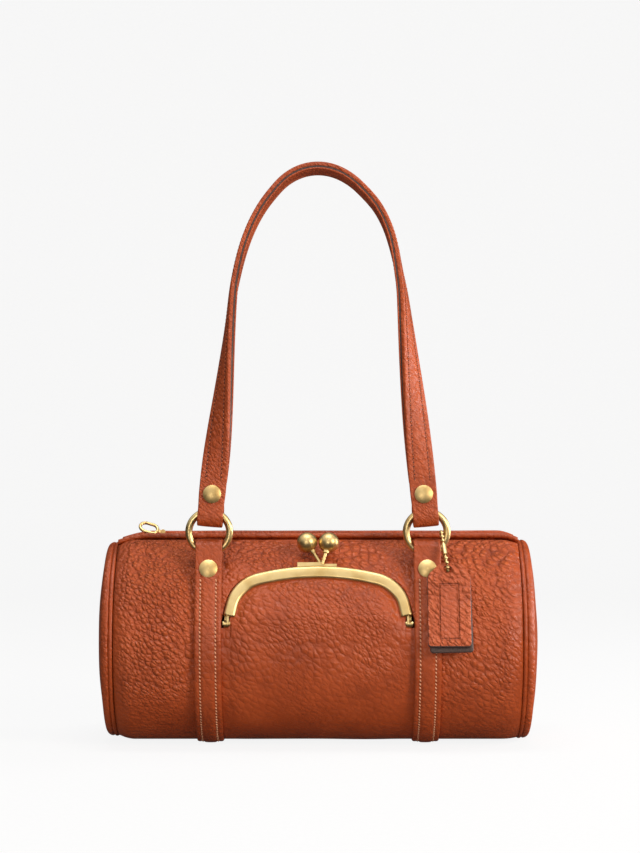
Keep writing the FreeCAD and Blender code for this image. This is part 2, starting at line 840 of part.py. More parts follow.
def pocket_pouch():
    outer = pouch_block(0).common(pouch_round(0))
    inner = pouch_block(-lining).common(pouch_round(lining))
    clear = box(point(-pouch_half_width, -mouth_drop, -frame_thickness - frame_parting - pouch_gap),
                point(pouch_half_width, frame_height + mouth_clear, overrun))
    return outer.cut(inner).cut(to_frame(clear))


# Hang tag and ball chain

tag_angle = math.radians(tag_lean)
tag_up = point(0, math.sin(tag_angle), math.cos(tag_angle))
tag_out = point(0, -math.cos(tag_angle), math.sin(tag_angle))
tag_middle = band_outer + tag_stand_off + tag_leaf + tag_leaf_gap / 2
tag_hole_y = (math.sin(tag_angle) * (tag_hole_z - axis_z) - tag_middle) / math.cos(tag_angle)
tag_hole = point(tag_hole_x, tag_hole_y, tag_hole_z)


def tag_leaf_solid(low, extra, turn):
    half = tag_half_width
    top = tag_top_half_width
    edge = tag_above_hole
    foot = -tag_below_hole - extra
    face = polygon([point(tag_shift - top, edge, 0), point(tag_shift - half, edge - tag_clip, 0),
                    point(tag_shift - half, foot, 0), point(tag_shift + half, foot, 0),
                    point(tag_shift + half, edge - tag_clip, 0), point(tag_shift + top, edge, 0)])
    leaf = slab(face, low, low + tag_leaf)
    leaf.rotate(point(0, 0, 0), Z, turn)
    hole = Part.makeCylinder(tag_hole_radius, tag_leaf, Z * low)
    return place(leaf.cut(hole), tag_hole, X, tag_up, tag_out)


def chain_path():
    # A belt round two circles: one clears the ring's wire, one passes through the tag's hole.
    top = point(tag_hole_x, chain_top_y, chain_top_z)
    tip = tag_hole + tag_up * chain_tip_radius
    way = top - tip
    base = math.atan2(way.z, way.y)
    spread = math.acos((chain_top_radius - chain_tip_radius) / way.Length)

    def spot(centre, radius, angle):
        return centre + point(0, radius * math.cos(angle), radius * math.sin(angle))

    one = base + spread
    two = base - spread
    edges = [arc(spot(top, chain_top_radius, two), spot(top, chain_top_radius, base),
                 spot(top, chain_top_radius, one)),
             Part.makeLine(spot(top, chain_top_radius, one), spot(tip, chain_tip_radius, one)),
             arc(spot(tip, chain_tip_radius, one), spot(tip, chain_tip_radius, base + math.pi),
                 spot(tip, chain_tip_radius, two)),
             Part.makeLine(spot(tip, chain_tip_radius, two), spot(top, chain_top_radius, two))]
    path = Part.Wire(edges)
    path.rotate(tag_hole, Y, -chain_side_tilt)
    return path


def front_strand(path):
    return path.Edges[1]


def connector_ends(path):
    edge = front_strand(path)
    middle = edge.valueAt(edge.FirstParameter + connector_place_share * edge.Length)
    way = edge.tangentAt(edge.FirstParameter)
    return middle - way * (connector_length / 2), middle + way * (connector_length / 2)


def tag_chain():
    path = chain_path()
    strand = front_strand(path)
    links = tube_on(path, strand.valueAt(strand.FirstParameter), strand.tangentAt(strand.FirstParameter), link_radius)
    start, end = connector_ends(path)
    middle = (start + end) / 2
    beads = []
    for spot in path.discretize(bead_count + 1)[:-1]:
        if spot.distanceToPoint(middle) > connector_length / 2 + bead_radius:
            beads.append(Part.makeSphere(bead_radius, spot))
    return links.multiFuse(beads)


def tag_connector():
    start, end = connector_ends(chain_path())
    return rod(start, end, connector_radius).cut(rod(start, end, link_radius + connector_clear))


os.makedirs("parts", exist_ok=True)

save("body_panel", body_panel())
save("body_lining", body_lining())
save("base_board", base_board())
for name, side in (("left", -1), ("right", 1)):
    save(name + "_end_panel", end_panel(side))
    save(name + "_piping", piping(side))
    save(name + "_end_lining", end_lining(side))
    save(name + "_band", band(side))
    save(name + "_band_rivet", band_rivet(side))
    save(name + "_ring", ring(side))
    save(name + "_strap_rivet", strap_rivet(side))
    save(name + "_hinge_pin", hinge_pin(side))
for name, side in (("front", -1), ("back", 1)):
    save(name + "_zip_facing", zip_facing(side))
    save(name + "_zip_tape", zip_tape(side))
    save(name + "_zip_teeth", zip_teeth(side))
    save(name + "_frame", frame_half(-side))
    save(name + "_clasp_post", clasp_post(-side))
    save(name + "_clasp_ball", clasp_ball(-side))
save("zip_stops", zip_stops())
save("zip_slider", zip_slider())
save("zip_pull", zip_pull())
save("strap", strap())
save("strap_backing", strap_backing_strip())
save("pocket_flap", pocket_flap())
save("pocket_crease", pocket_crease())
save("pocket_pouch", pocket_pouch())
save("tag_front_leaf", tag_leaf_solid(tag_leaf_gap / 2, 0, 0))
save("tag_back_leaf", tag_leaf_solid(-tag_leaf_gap / 2 - tag_leaf, tag_back_extra, tag_back_turn))
save("tag_chain", tag_chain())
save("tag_connector", tag_connector())
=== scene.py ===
import bmesh
import bpy
import math
import numpy as np
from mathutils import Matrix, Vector


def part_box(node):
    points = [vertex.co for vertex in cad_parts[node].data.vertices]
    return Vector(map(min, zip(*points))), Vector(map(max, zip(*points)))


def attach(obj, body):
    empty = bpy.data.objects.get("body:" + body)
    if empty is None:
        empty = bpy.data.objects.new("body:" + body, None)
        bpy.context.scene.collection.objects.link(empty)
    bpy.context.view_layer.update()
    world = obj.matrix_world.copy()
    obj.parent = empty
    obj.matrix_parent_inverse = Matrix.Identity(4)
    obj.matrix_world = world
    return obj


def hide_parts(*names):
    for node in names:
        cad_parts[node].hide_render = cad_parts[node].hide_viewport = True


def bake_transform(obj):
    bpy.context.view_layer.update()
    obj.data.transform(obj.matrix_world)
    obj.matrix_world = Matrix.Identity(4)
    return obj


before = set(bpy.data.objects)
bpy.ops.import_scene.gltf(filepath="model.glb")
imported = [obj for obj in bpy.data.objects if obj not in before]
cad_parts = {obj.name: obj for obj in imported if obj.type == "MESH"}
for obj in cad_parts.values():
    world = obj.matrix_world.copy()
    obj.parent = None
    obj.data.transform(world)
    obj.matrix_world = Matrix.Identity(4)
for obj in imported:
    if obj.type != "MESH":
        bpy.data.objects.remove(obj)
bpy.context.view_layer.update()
mm = 0.001
metre = 1000  # in mm
print("frame loaded:", len(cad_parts), "nodes")


# small helpers

def hexColour(text):
    parts = [int(text[i:i + 2], 16) / 255 for i in (1, 3, 5)]
    linear = [c / 12.92 if c <= 0.04045 else ((c + 0.055) / 1.055) ** 2.4 for c in parts]
    return (*linear, 1.0)


def addNode(tree, kind, links=None, **settings):
    node = tree.nodes.new(kind)
    for key, value in settings.items():
        setattr(node, key, value)
    for key, value in (links or {}).items():
        if isinstance(value, bpy.types.NodeSocket):
            tree.links.new(value, node.inputs[key])
        else:
            node.inputs[key].default_value = value
    return node


def smooth(low, high, value):
    t = np.clip((value - low) / (high - low), 0, 1)
    return t * t * (3 - 2 * t)


def upAndDown(riseFrom, riseTo, fallFrom, fallTo, value):
    return smooth(riseFrom, riseTo, value) * (1 - smooth(fallFrom, fallTo, value))


def ripple(x, y, seed):  # a few crossed waves, the same on every run
    waves = 5
    total = 0
    for k in range(waves):
        turn = 1.7 * k + 0.9 * seed
        total = total + np.sin((x * math.cos(turn) + y * math.sin(turn)) * (0.75 + 0.33 * k) + 2.1 * k + seed)
    return total / waves


def spread(low, high, step):
    return np.linspace(low, high, max(2, int(round((high - low) / step)) + 1))


def circle(middle, radius, angles):  # points (first + cosine, second + sine)
    return [(middle[0] + radius * math.cos(a), middle[1] + radius * math.sin(a)) for a in angles]


def makeObject(name, verts, faces, material, flat=False):
    mesh = bpy.data.meshes.new(name)
    mesh.from_pydata([tuple(v) for v in verts], [], faces)
    mesh.validate()
    mesh.polygons.foreach_set("use_smooth", [not flat] * len(mesh.polygons))
    obj = bpy.data.objects.new(name, mesh)
    bpy.context.scene.collection.objects.link(obj)
    for m in material if isinstance(material, list) else [material]:
        mesh.materials.append(m)
    return obj


def gridFaces(rows, cols, closeRows=False, closeCols=False, start=0):
    faces = []
    for i in range(rows if closeRows else rows - 1):
        for j in range(cols if closeCols else cols - 1):
            here, above = start + i * cols, start + ((i + 1) % rows) * cols
            ahead = (j + 1) % cols
            faces.append((here + j, here + ahead, above + ahead, above + j))
    return faces


def setFloat(obj, name, values):
    attribute = obj.data.attributes.new(name, "FLOAT", "POINT")
    attribute.data.foreach_set("value", np.asarray(values, np.float32))


def setGrain(obj, amount):  # the same depth of grain all over
    setFloat(obj, "grain", np.full(len(obj.data.vertices), amount))


def faceOut(obj, middle=None):  # an open sheet has no inside, so it faces away from the given point
    work = bmesh.new()
    work.from_mesh(obj.data)
    bmesh.ops.remove_doubles(work, verts=work.verts, dist=1e-6)
    bmesh.ops.recalc_face_normals(work, faces=work.faces)
    if middle:
        away = sum(f.normal.dot(f.calc_center_median() - Vector(middle)) * f.calc_area() for f in work.faces)
        if away < 0:
            bmesh.ops.reverse_faces(work, faces=work.faces)
    work.to_mesh(obj.data)
    work.free()


def solidify(obj, thickness, offset=-1, lined=False):  # lined: the inside takes the second material
    wall = obj.modifiers.new("wall", "SOLIDIFY")
    wall.thickness = thickness
    wall.offset = offset
    wall.material_offset = 1 if lined else 0


def bevel(obj, width, segments=2):
    edge = obj.modifiers.new("edges", "BEVEL")
    edge.width = width
    edge.segments = segments
    edge.limit_method = "ANGLE"
    edge.angle_limit = math.radians(40)


def settle(obj, body, slot, *nodes):  # parents a finished piece to its body and hides the frame nodes it replaces
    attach(obj, body)
    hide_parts(*nodes)


# materials

def startMaterial(name):
    material = bpy.data.materials.new(name)
    material.use_nodes = True
    tree = material.node_tree
    tree.nodes.clear()
    shader = addNode(tree, "ShaderNodeBsdfPrincipled")
    addNode(tree, "ShaderNodeOutputMaterial", {"Surface": shader.outputs["BSDF"]})
    coords = addNode(tree, "ShaderNodeTexCoord").outputs["Object"]
    return material, tree, shader, coords


def mathNode(tree, operation, *values):
    return addNode(tree, "ShaderNodeMath", dict(enumerate(values)), operation=operation).outputs[0]


def vectorNode(tree, operation, links):
    return addNode(tree, "ShaderNodeVectorMath", links, operation=operation).outputs[0]


def noiseNode(tree, coords, size, detail, output="Fac", **more):  # size in mm
    links = {"Vector": coords, "Scale": metre / size, "Detail": detail, **more}
    return addNode(tree, "ShaderNodeTexNoise", links).outputs[output]


def rangeNode(tree, value, low, high, toLow=0.0, toHigh=1.0, kind="SMOOTHSTEP"):
    links = {"Value": value, "From Min": low, "From Max": high, "To Min": toLow, "To Max": toHigh}
    return addNode(tree, "ShaderNodeMapRange", links, interpolation_type=kind).outputs[0]


def bumpNode(tree, height, strength, depth):  # depth in mm
    links = {"Height": height, "Strength": strength, "Distance": depth * mm}
    return addNode(tree, "ShaderNodeBump", links).outputs["Normal"]


def rampNode(tree, value, *stops):
    node = addNode(tree, "ShaderNodeValToRGB", {"Fac": value})
    ramp = node.color_ramp
    while len(ramp.elements) < len(stops):
        ramp.elements.new(1.0)
    for element, (place, colour) in zip(ramp.elements, stops):
        element.position = place
        element.color = hexColour(colour)
    return node.outputs["Color"]


def setShader(tree, shader, values):
    for key, value in values.items():
        if isinstance(value, bpy.types.NodeSocket):
            tree.links.new(value, shader.inputs[key])
        else:
            shader.inputs[key].default_value = value


pebble = {
    "light": "#CC6230", "mid": "#AE4B1E", "dark": "#70290E",
    "cell": 4.1, "fine": 2.7, "pore": 0.5,            # mm across the large pebbles, the small ones and the pores
    "slant": (0.1, 0.75, 0.1), "stretch": (1.3, 1.0, 0.8),  # how the pebbles lean and lengthen
    "wander": 30.0, "push": 6.0,                      # mm between slow bends of the grain, and their shift
    "jitter": 3.4, "wobble": 1.5,                     # the same for the quick bends
    "crease": 30.0, "creaseWide": 0.02, "creaseLeft": 0.35,  # mm between long creases, their width and floor
    "patch": 34.0, "patchFade": (0.36, 0.64, 0.1, 0.9),      # mm across patches of large pebbles
    "dome": (-1.2, 0.9), "soft": 0.35, "valley": 0.24, "valleyDepth": 0.22, "poreDepth": 0.07,
    "relief": 1.9,                                    # mm of dome on a large pebble
    # valley tone: painted shade darkening the valleys; crown tone: painted highlight lightening each pebble's
    # crown, so bolder grain also reads lighter
    "mottle": 26.0, "tone": (0.45, 0.28), "valleyShade": -0.06, "crownHighlight": (0.3, -0.1),
    "roughness": 0.36, "sunkRough": 0.3, "specular": 0.45,
}
leatherIor = 1.46
pressed = {"field": (-1.2, -0.4, 0.4), "line": (0.0, 0.55, -0.5, 0.0)}  # flat field and sunk line round it, mm


def pebbledLeather(name, look):
    # shrunken drum-dyed cowhide: soft sheen on rounded pebbles, a painted highlight lightening each pebble's crown
    # and painted shade darkening the valleys
    material, tree, shader, coords = startMaterial(name)
    grain = addNode(tree, "ShaderNodeAttribute", attribute_name="grain").outputs["Fac"]
    drift = noiseNode(tree, coords, look["wander"], 2.0, "Color")
    drift = vectorNode(tree, "SUBTRACT", {0: drift, 1: (0.5, 0.5, 0.5)})
    drift = vectorNode(tree, "SCALE", {0: drift, 3: look["push"] * mm})
    bent = vectorNode(tree, "ADD", {0: coords, 1: drift})
    wobble = noiseNode(tree, coords, look["jitter"], 2.0, "Color")
    wobble = vectorNode(tree, "SCALE", {0: wobble, 3: look["wobble"] * mm})
    bent = vectorNode(tree, "ADD", {0: bent, 1: wobble})
    leaning = {"Vector": bent, "Rotation": look["slant"], "Scale": look["stretch"]}
    lean = addNode(tree, "ShaderNodeMapping", leaning, vector_type="TEXTURE").outputs[0]
    domes, edges = [], []
    for size in (look["fine"], look["cell"]):
        cells = {"Vector": lean, "Scale": metre / size}
        dome = addNode(tree, "ShaderNodeTexVoronoi", {**cells, "Smoothness": look["soft"]}, feature="SMOOTH_F1")
        domes.append(mathNode(tree, "MULTIPLY_ADD", dome.outputs["Distance"], *look["dome"]))
        rim = addNode(tree, "ShaderNodeTexVoronoi", cells, feature="DISTANCE_TO_EDGE")
        edges.append(rangeNode(tree, rim.outputs["Distance"], 0.0, look["valley"]))
    pores = noiseNode(tree, coords, look["pore"], 3.0)
    crease = noiseNode(tree, bent, look["crease"], 2.5, Distortion=0.6)
    crease = mathNode(tree, "ABSOLUTE", mathNode(tree, "SUBTRACT", crease, 0.5))
    crease = rangeNode(tree, crease, 0.0, look["creaseWide"], look["creaseLeft"])
    patch = rangeNode(tree, noiseNode(tree, coords, look["patch"], 2.0), *look["patchFade"])
    height, valley = (addNode(tree, "ShaderNodeMix", {0: patch, 2: small, 3: large}).outputs[0]
                      for small, large in (domes, edges))
    valley = mathNode(tree, "MULTIPLY", valley, crease)
    height = mathNode(tree, "MULTIPLY_ADD", valley, look["valleyDepth"], height)
    if "border" in look:  # a plain pressed panel with a line round it
        sides = []
        for key, half in look["border"].items():
            off = addNode(tree, "ShaderNodeAttribute", attribute_name=key).outputs["Fac"]
            sides.append(mathNode(tree, "SUBTRACT", mathNode(tree, "ABSOLUTE", off), half))
        apart = mathNode(tree, "MAXIMUM", *sides)
        grain = mathNode(tree, "MULTIPLY", grain, rangeNode(tree, apart, *pressed["field"], kind="LINEAR"))
        line = rangeNode(tree, mathNode(tree, "ABSOLUTE", apart), *pressed["line"])
        height = mathNode(tree, "ADD", height, line)
    height = mathNode(tree, "MULTIPLY", height, grain)
    fineHeight = mathNode(tree, "MULTIPLY_ADD", pores, look["poreDepth"], height)
    sunk = mathNode(tree, "MULTIPLY", mathNode(tree, "SUBTRACT", 1.0, valley), grain)
    tone = mathNode(tree, "MULTIPLY_ADD", noiseNode(tree, coords, look["mottle"], 4.0), *look["tone"])
    # painted shade in the valleys, then a painted highlight on the pebble crowns
    tone = mathNode(tree, "MULTIPLY_ADD", sunk, look["valleyShade"], tone)
    tone = mathNode(tree, "ADD", tone, mathNode(tree, "MULTIPLY_ADD", height, *look["crownHighlight"]))
    rough = look["roughness"]
    setShader(tree, shader, {
        "Base Color": rampNode(tree, tone, (0.1, look["dark"]), (0.46, look["mid"]), (0.8, look["light"])),
        "Roughness": rangeNode(tree, sunk, 0.0, 1.0, rough, rough + look["sunkRough"], kind="LINEAR"),
        "Normal": bumpNode(tree, fineHeight, 1.0, look["relief"]),
        "IOR": leatherIor, "Specular IOR Level": look["specular"]})
    return material


def paintedEdge(name, light, dark):
    # burnished and painted leather edge: dull brown-grey coat over raw fibre
    material, tree, shader, coords = startMaterial(name)
    fibre = noiseNode(tree, coords, 0.9, 4.0)
    setShader(tree, shader, {"Base Color": rampNode(tree, fibre, (0.3, dark), (0.7, light)), "Roughness": 0.55,
                             "Normal": bumpNode(tree, fibre, 0.4, 0.15)})
    return material


def brassFinish(name, light, dark, roughness, brush, relief):
    # lacquered brass: warm mirror broken up by fine wear, darker where lacquer has aged
    material, tree, shader, coords = startMaterial(name)
    stretch = addNode(tree, "ShaderNodeMapping", {"Vector": coords, "Scale": brush}).outputs[0]
    wear = noiseNode(tree, stretch, 1.1, 4.0)
    age = noiseNode(tree, coords, 9.0, 3.0)
    setShader(tree, shader, {
        "Base Color": rampNode(tree, age, (0.3, dark), (0.62, light)), "Metallic": 1.0,
        "Roughness": rangeNode(tree, wear, 0.0, 1.0, roughness - 0.08, roughness + 0.12, kind="LINEAR"),
        "Normal": bumpNode(tree, wear, 0.25, relief)})
    return material


def wovenCloth(name, light, dark, thread):
    # plain woven tape or twill: two sets of crossing threads, drawn coarse enough to show
    material, tree, shader, coords = startMaterial(name)
    rows = []
    for turn in (0.78, -0.78):
        lay = addNode(tree, "ShaderNodeMapping", {"Vector": coords, "Rotation": (turn, turn, turn)}).outputs[0]
        links = {"Vector": lay, "Scale": metre / (thread * 20), "Distortion": 0.6}  # the node draws 20 to a unit
        rows.append(addNode(tree, "ShaderNodeTexWave", links, bands_direction="X").outputs["Fac"])
    weave = mathNode(tree, "MAXIMUM", *rows)
    setShader(tree, shader, {"Base Color": rampNode(tree, weave, (0.2, dark), (0.8, light)), "Roughness": 0.85,
                             "Normal": bumpNode(tree, weave, 0.5, 0.25)})
    return material


def waxedThread(name, dark, light):
    # twisted bonded thread clouded along the ply; also dark beads painted as the shade inside stitch holes
    material, tree, shader, coords = startMaterial(name)
    ply = noiseNode(tree, coords, 0.8, 2.0)
    setShader(tree, shader, {"Base Color": rampNode(tree, ply, (0.3, dark), (0.7, light)), "Roughness": 0.6})
    return material


bodyHide = pebbledLeather("pebbled cowhide", pebble)
tagHide = pebbledLeather("pebbled cowhide, small grain", {
    **pebble, "cell": 3.6, "light": "#D46E44", "mid": "#BC5830", "border": {"tagAcross": 5.4, "tagDown": 16.0}})
strapHide = pebbledLeather("pebbled strap leather", {**pebble, "cell": 3.0, "fine": 2.0, "relief": 1.1})
edgePaint = paintedEdge("painted leather edge", "#5A423B", "#33241F")
evenly, alongBag = (1.0, 1.0, 1.0), (0.15, 1.0, 1.0)  # which way the brass is brushed
frameBrass = brassFinish("brushed pale brass", "#DCC187", "#C7A76C", 0.38, alongBag, 0.05)
ringBrass = brassFinish("polished antique brass", "#E6CC90", "#D2B074", 0.34, evenly, 0.002)
capBrass = brassFinish("antique brass caps", "#D3B67C", "#AE8D54", 0.44, evenly, 0.05)
tapeCloth = wovenCloth("woven zip tape", "#4A2A22", "#241310", 0.5)
liningCloth = wovenCloth("twill lining", "#8A5642", "#5E3626", 0.7)
boardStuff = wovenCloth("fibre board", "#55504B", "#3A3632", 0.9)
thread = waxedThread("waxed thread", "#CE8860", "#F0B892")
# dark beads that paint the shade inside the stitch holes
holeShade = waxedThread("stitch hole shade", "#3A1206", "#571E0C")
matchedThread = waxedThread("matched thread", "#8A3A1A", "#C06A40")
print("materials made")


# barrel: sizes in mm, turn counts from straight up towards the front

barrel = {"radius": 61.5, "axisHeight": 60.5, "sag": 3.0, "endSag": 0.3, "halfLength": 118.0, "taper": 10.0,
          "taperDrop": {-1: 3.6, 1: 2.2},  # the right end is fuller
          "slotHalf": 15.5, "slotTuck": 0.03, "wall": 1.8, "bandX": 63.3, "step": 1.6, "corner": 1.0,
          "windowX": 60.0}
stuffing = {"pinch": 0.7, "pinchReach": (8, 17), "puff": 0.54, "puffReach": (9, 26), "seamReach": (0, 22),
            "waves": 0.55, "shortWave": (9.0, 7.0, 0.55), "longWave": (20.0, 3.2, 0.8),  # mm, per turn, height
            "edge": (0.26, 0.7), "calm": (2.2, 2.8, 3.5, 4.1),  # turns: from the zip on, and over the base
            "rise": 1.6, "riseOver": (0.27, 0.315, 0.36, 0.62)}  # up against the zip's roll
grainLook = {"base": (1.5, 2.4, 3.9, 4.8), "worn": 0.7, "seam": (1, 9), "seamLeft": 0.35, "middle": 0.58,
             "side": 0.56, "sideFrom": (58, 82), "top": 0.5, "topTo": (0.5, 0.95),
             "even": 0.86, "uneven": 0.3, "patch": (16, 4), "least": 0.12, "most": 1.3}
barrelMiddle = (0, 0, barrel["axisHeight"] * mm)
wholeTurn = 2 * math.pi
slotTurn = math.asin(barrel["slotHalf"] / barrel["radius"]) - barrel["slotTuck"]
leftAndRight = ((-1, "left"), (1, "right"))


def barrelRadius(x, turn, lift):
    part = np.clip((np.abs(x) - barrel["halfLength"] + barrel["taper"]) / barrel["taper"], 0, 1)
    fall = 1 - np.cos(part * math.pi / 2)
    drop = np.where(x < 0, barrel["taperDrop"][-1], barrel["taperDrop"][1]) * fall
    sag = barrel["sag"] + (barrel["endSag"] - barrel["sag"]) * fall
    full = barrel["radius"] - drop + lift
    flat = (barrel["radius"] - drop - sag) / np.maximum(-np.cos(turn), 0.05)  # the base lies level on the floor
    return -barrel["corner"] * np.logaddexp(-full / barrel["corner"], -flat / barrel["corner"])


def softLift(x, turn):  # stuffed leather: fuller between the seams, drawn in beside the bands
    away = np.abs(np.abs(x) - barrel["bandX"])
    fromTop = np.minimum(turn, wholeTurn - turn)
    drawn = -stuffing["pinch"] * (1 - smooth(*stuffing["pinchReach"], away))
    seam = smooth(*stuffing["seamReach"], barrel["halfLength"] - np.abs(x))
    calm = 1 - upAndDown(*stuffing["calm"], turn)
    waves = 0
    for (length, perTurn, height), seed in ((stuffing["shortWave"], 3), (stuffing["longWave"], 8)):
        waves = waves + ripple(x / length, turn * perTurn, seed) * height
    puff = stuffing["puff"] * smooth(*stuffing["puffReach"], away)
    soft = (drawn + (puff + waves * stuffing["waves"]) * seam) * smooth(*stuffing["edge"], fromTop) * calm
    return soft + stuffing["rise"] * upAndDown(*stuffing["riseOver"], fromTop)


def barrelPoint(x, turn, lift=0.0, soft=True):
    r = barrelRadius(x, turn, lift + (softLift(x, turn) if soft else 0.0))
    return np.stack([x + 0 * r, -r * np.sin(turn), barrel["axisHeight"] + r * np.cos(turn)], -1) * mm


def turnOf(points):
    return np.arctan2(-points[..., 1], points[..., 2] - barrel["axisHeight"] * mm)


def grainAmount(x, turn):  # bold pebbles on the sides, fading to smooth at the seams and towards the base
    low = 1 - grainLook["worn"] * upAndDown(*grainLook["base"], turn)
    seam = smooth(*grainLook["seam"], barrel["halfLength"] - np.abs(x))
    seam = grainLook["seamLeft"] + (1 - grainLook["seamLeft"]) * seam
    side = grainLook["middle"] + grainLook["side"] * smooth(*grainLook["sideFrom"], np.abs(x))
    side = side + grainLook["top"] * (1 - smooth(*grainLook["topTo"], turn))
    length, perTurn = grainLook["patch"]
    patches = grainLook["even"] + grainLook["uneven"] * ripple(x / length, turn * perTurn, 5)
    return np.clip(seam * low * side * patches, grainLook["least"], grainLook["most"])


# the kiss-lock's arch: u across, v up the arch from the hinge, w out of the bag's front

kissLock = {"hingeHeight": 13.5, "inset": 1.1, "proud": 2.2, "halfWidth": 55.4, "height": 34.8, "topRadius": 140.0,
            "shoulder": 24.0, "legAngle": math.radians(78), "bar": 7.7, "foot": 4.0, "thick": 3.2, "split": 0.1,
            "mouthClear": 0.5, "notchFrom": 50.3, "notchDrop": 3.0}
hingeY = kissLock["inset"] - math.sqrt(barrel["radius"] ** 2 - kissLock["hingeHeight"] ** 2)
hingeZ = barrel["axisHeight"] + kissLock["hingeHeight"]
hingeReach = math.hypot(hingeY, kissLock["hingeHeight"])
frameTop = barrel["radius"] + kissLock["proud"]
frameLean = math.atan2(kissLock["hingeHeight"], -hingeY) - math.asin(
    (frameTop ** 2 - hingeReach ** 2 - kissLock["height"] ** 2) / (2 * kissLock["height"] * hingeReach))
archTop, archBend, archLeg = kissLock["topRadius"], kissLock["shoulder"], kissLock["legAngle"]
archBase = kissLock["height"] - archTop
archReach = kissLock["halfWidth"] * math.sin(archLeg) - archBend - archBase * math.cos(archLeg)
archCrown = archLeg - math.acos(archReach / (archTop - archBend))
archBendX = (archTop - archBend) * math.sin(archCrown)
archBendY = archBase + (archTop - archBend) * math.cos(archCrown)


def framePoint(u, v, w):
    u, v, w = np.broadcast_arrays(np.asarray(u, float), v, w)
    y = hingeY + v * math.sin(frameLean) - w * math.cos(frameLean)
    z = hingeZ + v * math.cos(frameLean) + w * math.sin(frameLean)
    return np.stack([u, y, z], -1) * mm


def archKnee(inset):  # where the bend runs into the straight leg
    reach = archBend - inset
    return archBendX + reach * math.sin(archLeg), archBendY + reach * math.cos(archLeg)


def archHeight(u, inset):  # height of the arch's outline, drawn in by the inset
    u = np.abs(u)
    onTop = archBase + np.sqrt(np.maximum((archTop - inset) ** 2 - u ** 2, 0))
    onBend = archBendY + np.sqrt(np.maximum((archBend - inset) ** 2 - (u - archBendX) ** 2, 0))
    kneeX, kneeY = archKnee(inset)
    onLeg = kneeY - (u - kneeX) * math.tan(archLeg)
    return np.where(u < (archTop - inset) * math.sin(archCrown), onTop, np.where(u < kneeX, onBend, onLeg))


def archInset(u, v):  # how far a point lies inside the arch's outline
    u = np.abs(u)
    kneeX, kneeY = archKnee(0)
    turn = np.arctan2(u - archBendX, v - archBendY)
    fromTop = archTop - np.hypot(u, v - archBase)
    fromBend = archBend - np.hypot(u - archBendX, v - archBendY)
    fromLeg = (kneeX + (kneeY - v) / math.tan(archLeg) - u) * math.sin(archLeg)
    return np.where(turn < archCrown, fromTop, np.where((turn < archLeg) & (u > archBendX), fromBend, fromLeg))


# leather of the barrel

def bodyShell():
    window, step = barrel["windowX"], barrel["step"]
    sideXs, midXs = spread(window, barrel["halfLength"], step), spread(-window, window, step)
    frontTurns = spread(slotTurn, math.pi, step / barrel["radius"])
    backTurns = spread(math.pi, wholeTurn - slotTurn, step / barrel["radius"])
    turns = np.concatenate([frontTurns, backTurns[1:]])
    verts, faces, grains = [], [], []

    def addPatch(xs, turnGrid, flip=True):
        start = len(verts)
        grid = np.broadcast_to(xs[:, None], turnGrid.shape)
        verts.extend(barrelPoint(grid, turnGrid).reshape(-1, 3))
        grains.extend(grainAmount(grid, turnGrid).reshape(-1))
        found = gridFaces(*turnGrid.shape, start=start)
        faces.extend([f[::-1] for f in found] if flip else found)

    addPatch(-sideXs[::-1], np.tile(turns, (len(sideXs), 1)))
    addPatch(sideXs, np.tile(turns, (len(sideXs), 1)))
    addPatch(midXs, np.tile(backTurns, (len(midXs), 1)))
    clear, notch = kissLock["mouthClear"], -kissLock["notchDrop"]
    inMouth = np.abs(midXs) < kissLock["halfWidth"] + clear
    low = np.where(inMouth, np.maximum(archHeight(midXs, -clear), notch), notch)
    lowTurn = turnOf(framePoint(midXs, low, 0.0))[:, None]
    addPatch(midXs, lowTurn + (slotTurn - lowTurn) * np.linspace(0, 1, 40), False)
    obj = makeObject("bodyLeather", verts, faces, [bodyHide, liningCloth])
    setFloat(obj, "grain", grains)
    faceOut(obj, barrelMiddle)
    solidify(obj, barrel["wall"] * mm, lined=True)
    settle(obj, "bag", "pebbled_leather", "body_panel")


pocket = {"out": 2.4, "inset": 3.8, "rows": 96, "wall": 1.4, "slit": 0.25, "bulge": 2.6, "bulgeOver": 10,
          "tuck": 0.8, "tuckOver": 3.5, "puckers": 0.35, "puckerSize": (10, 9), "edgeGrain": 0.55,
          "lift": (-13, 7), "swell": (-6, 6),  # heights over the hinge
          "liftSide": (10, 57), "swellSide": (7, 55), "puckerSide": (12, 50)}  # mm of fade, and the place it ends


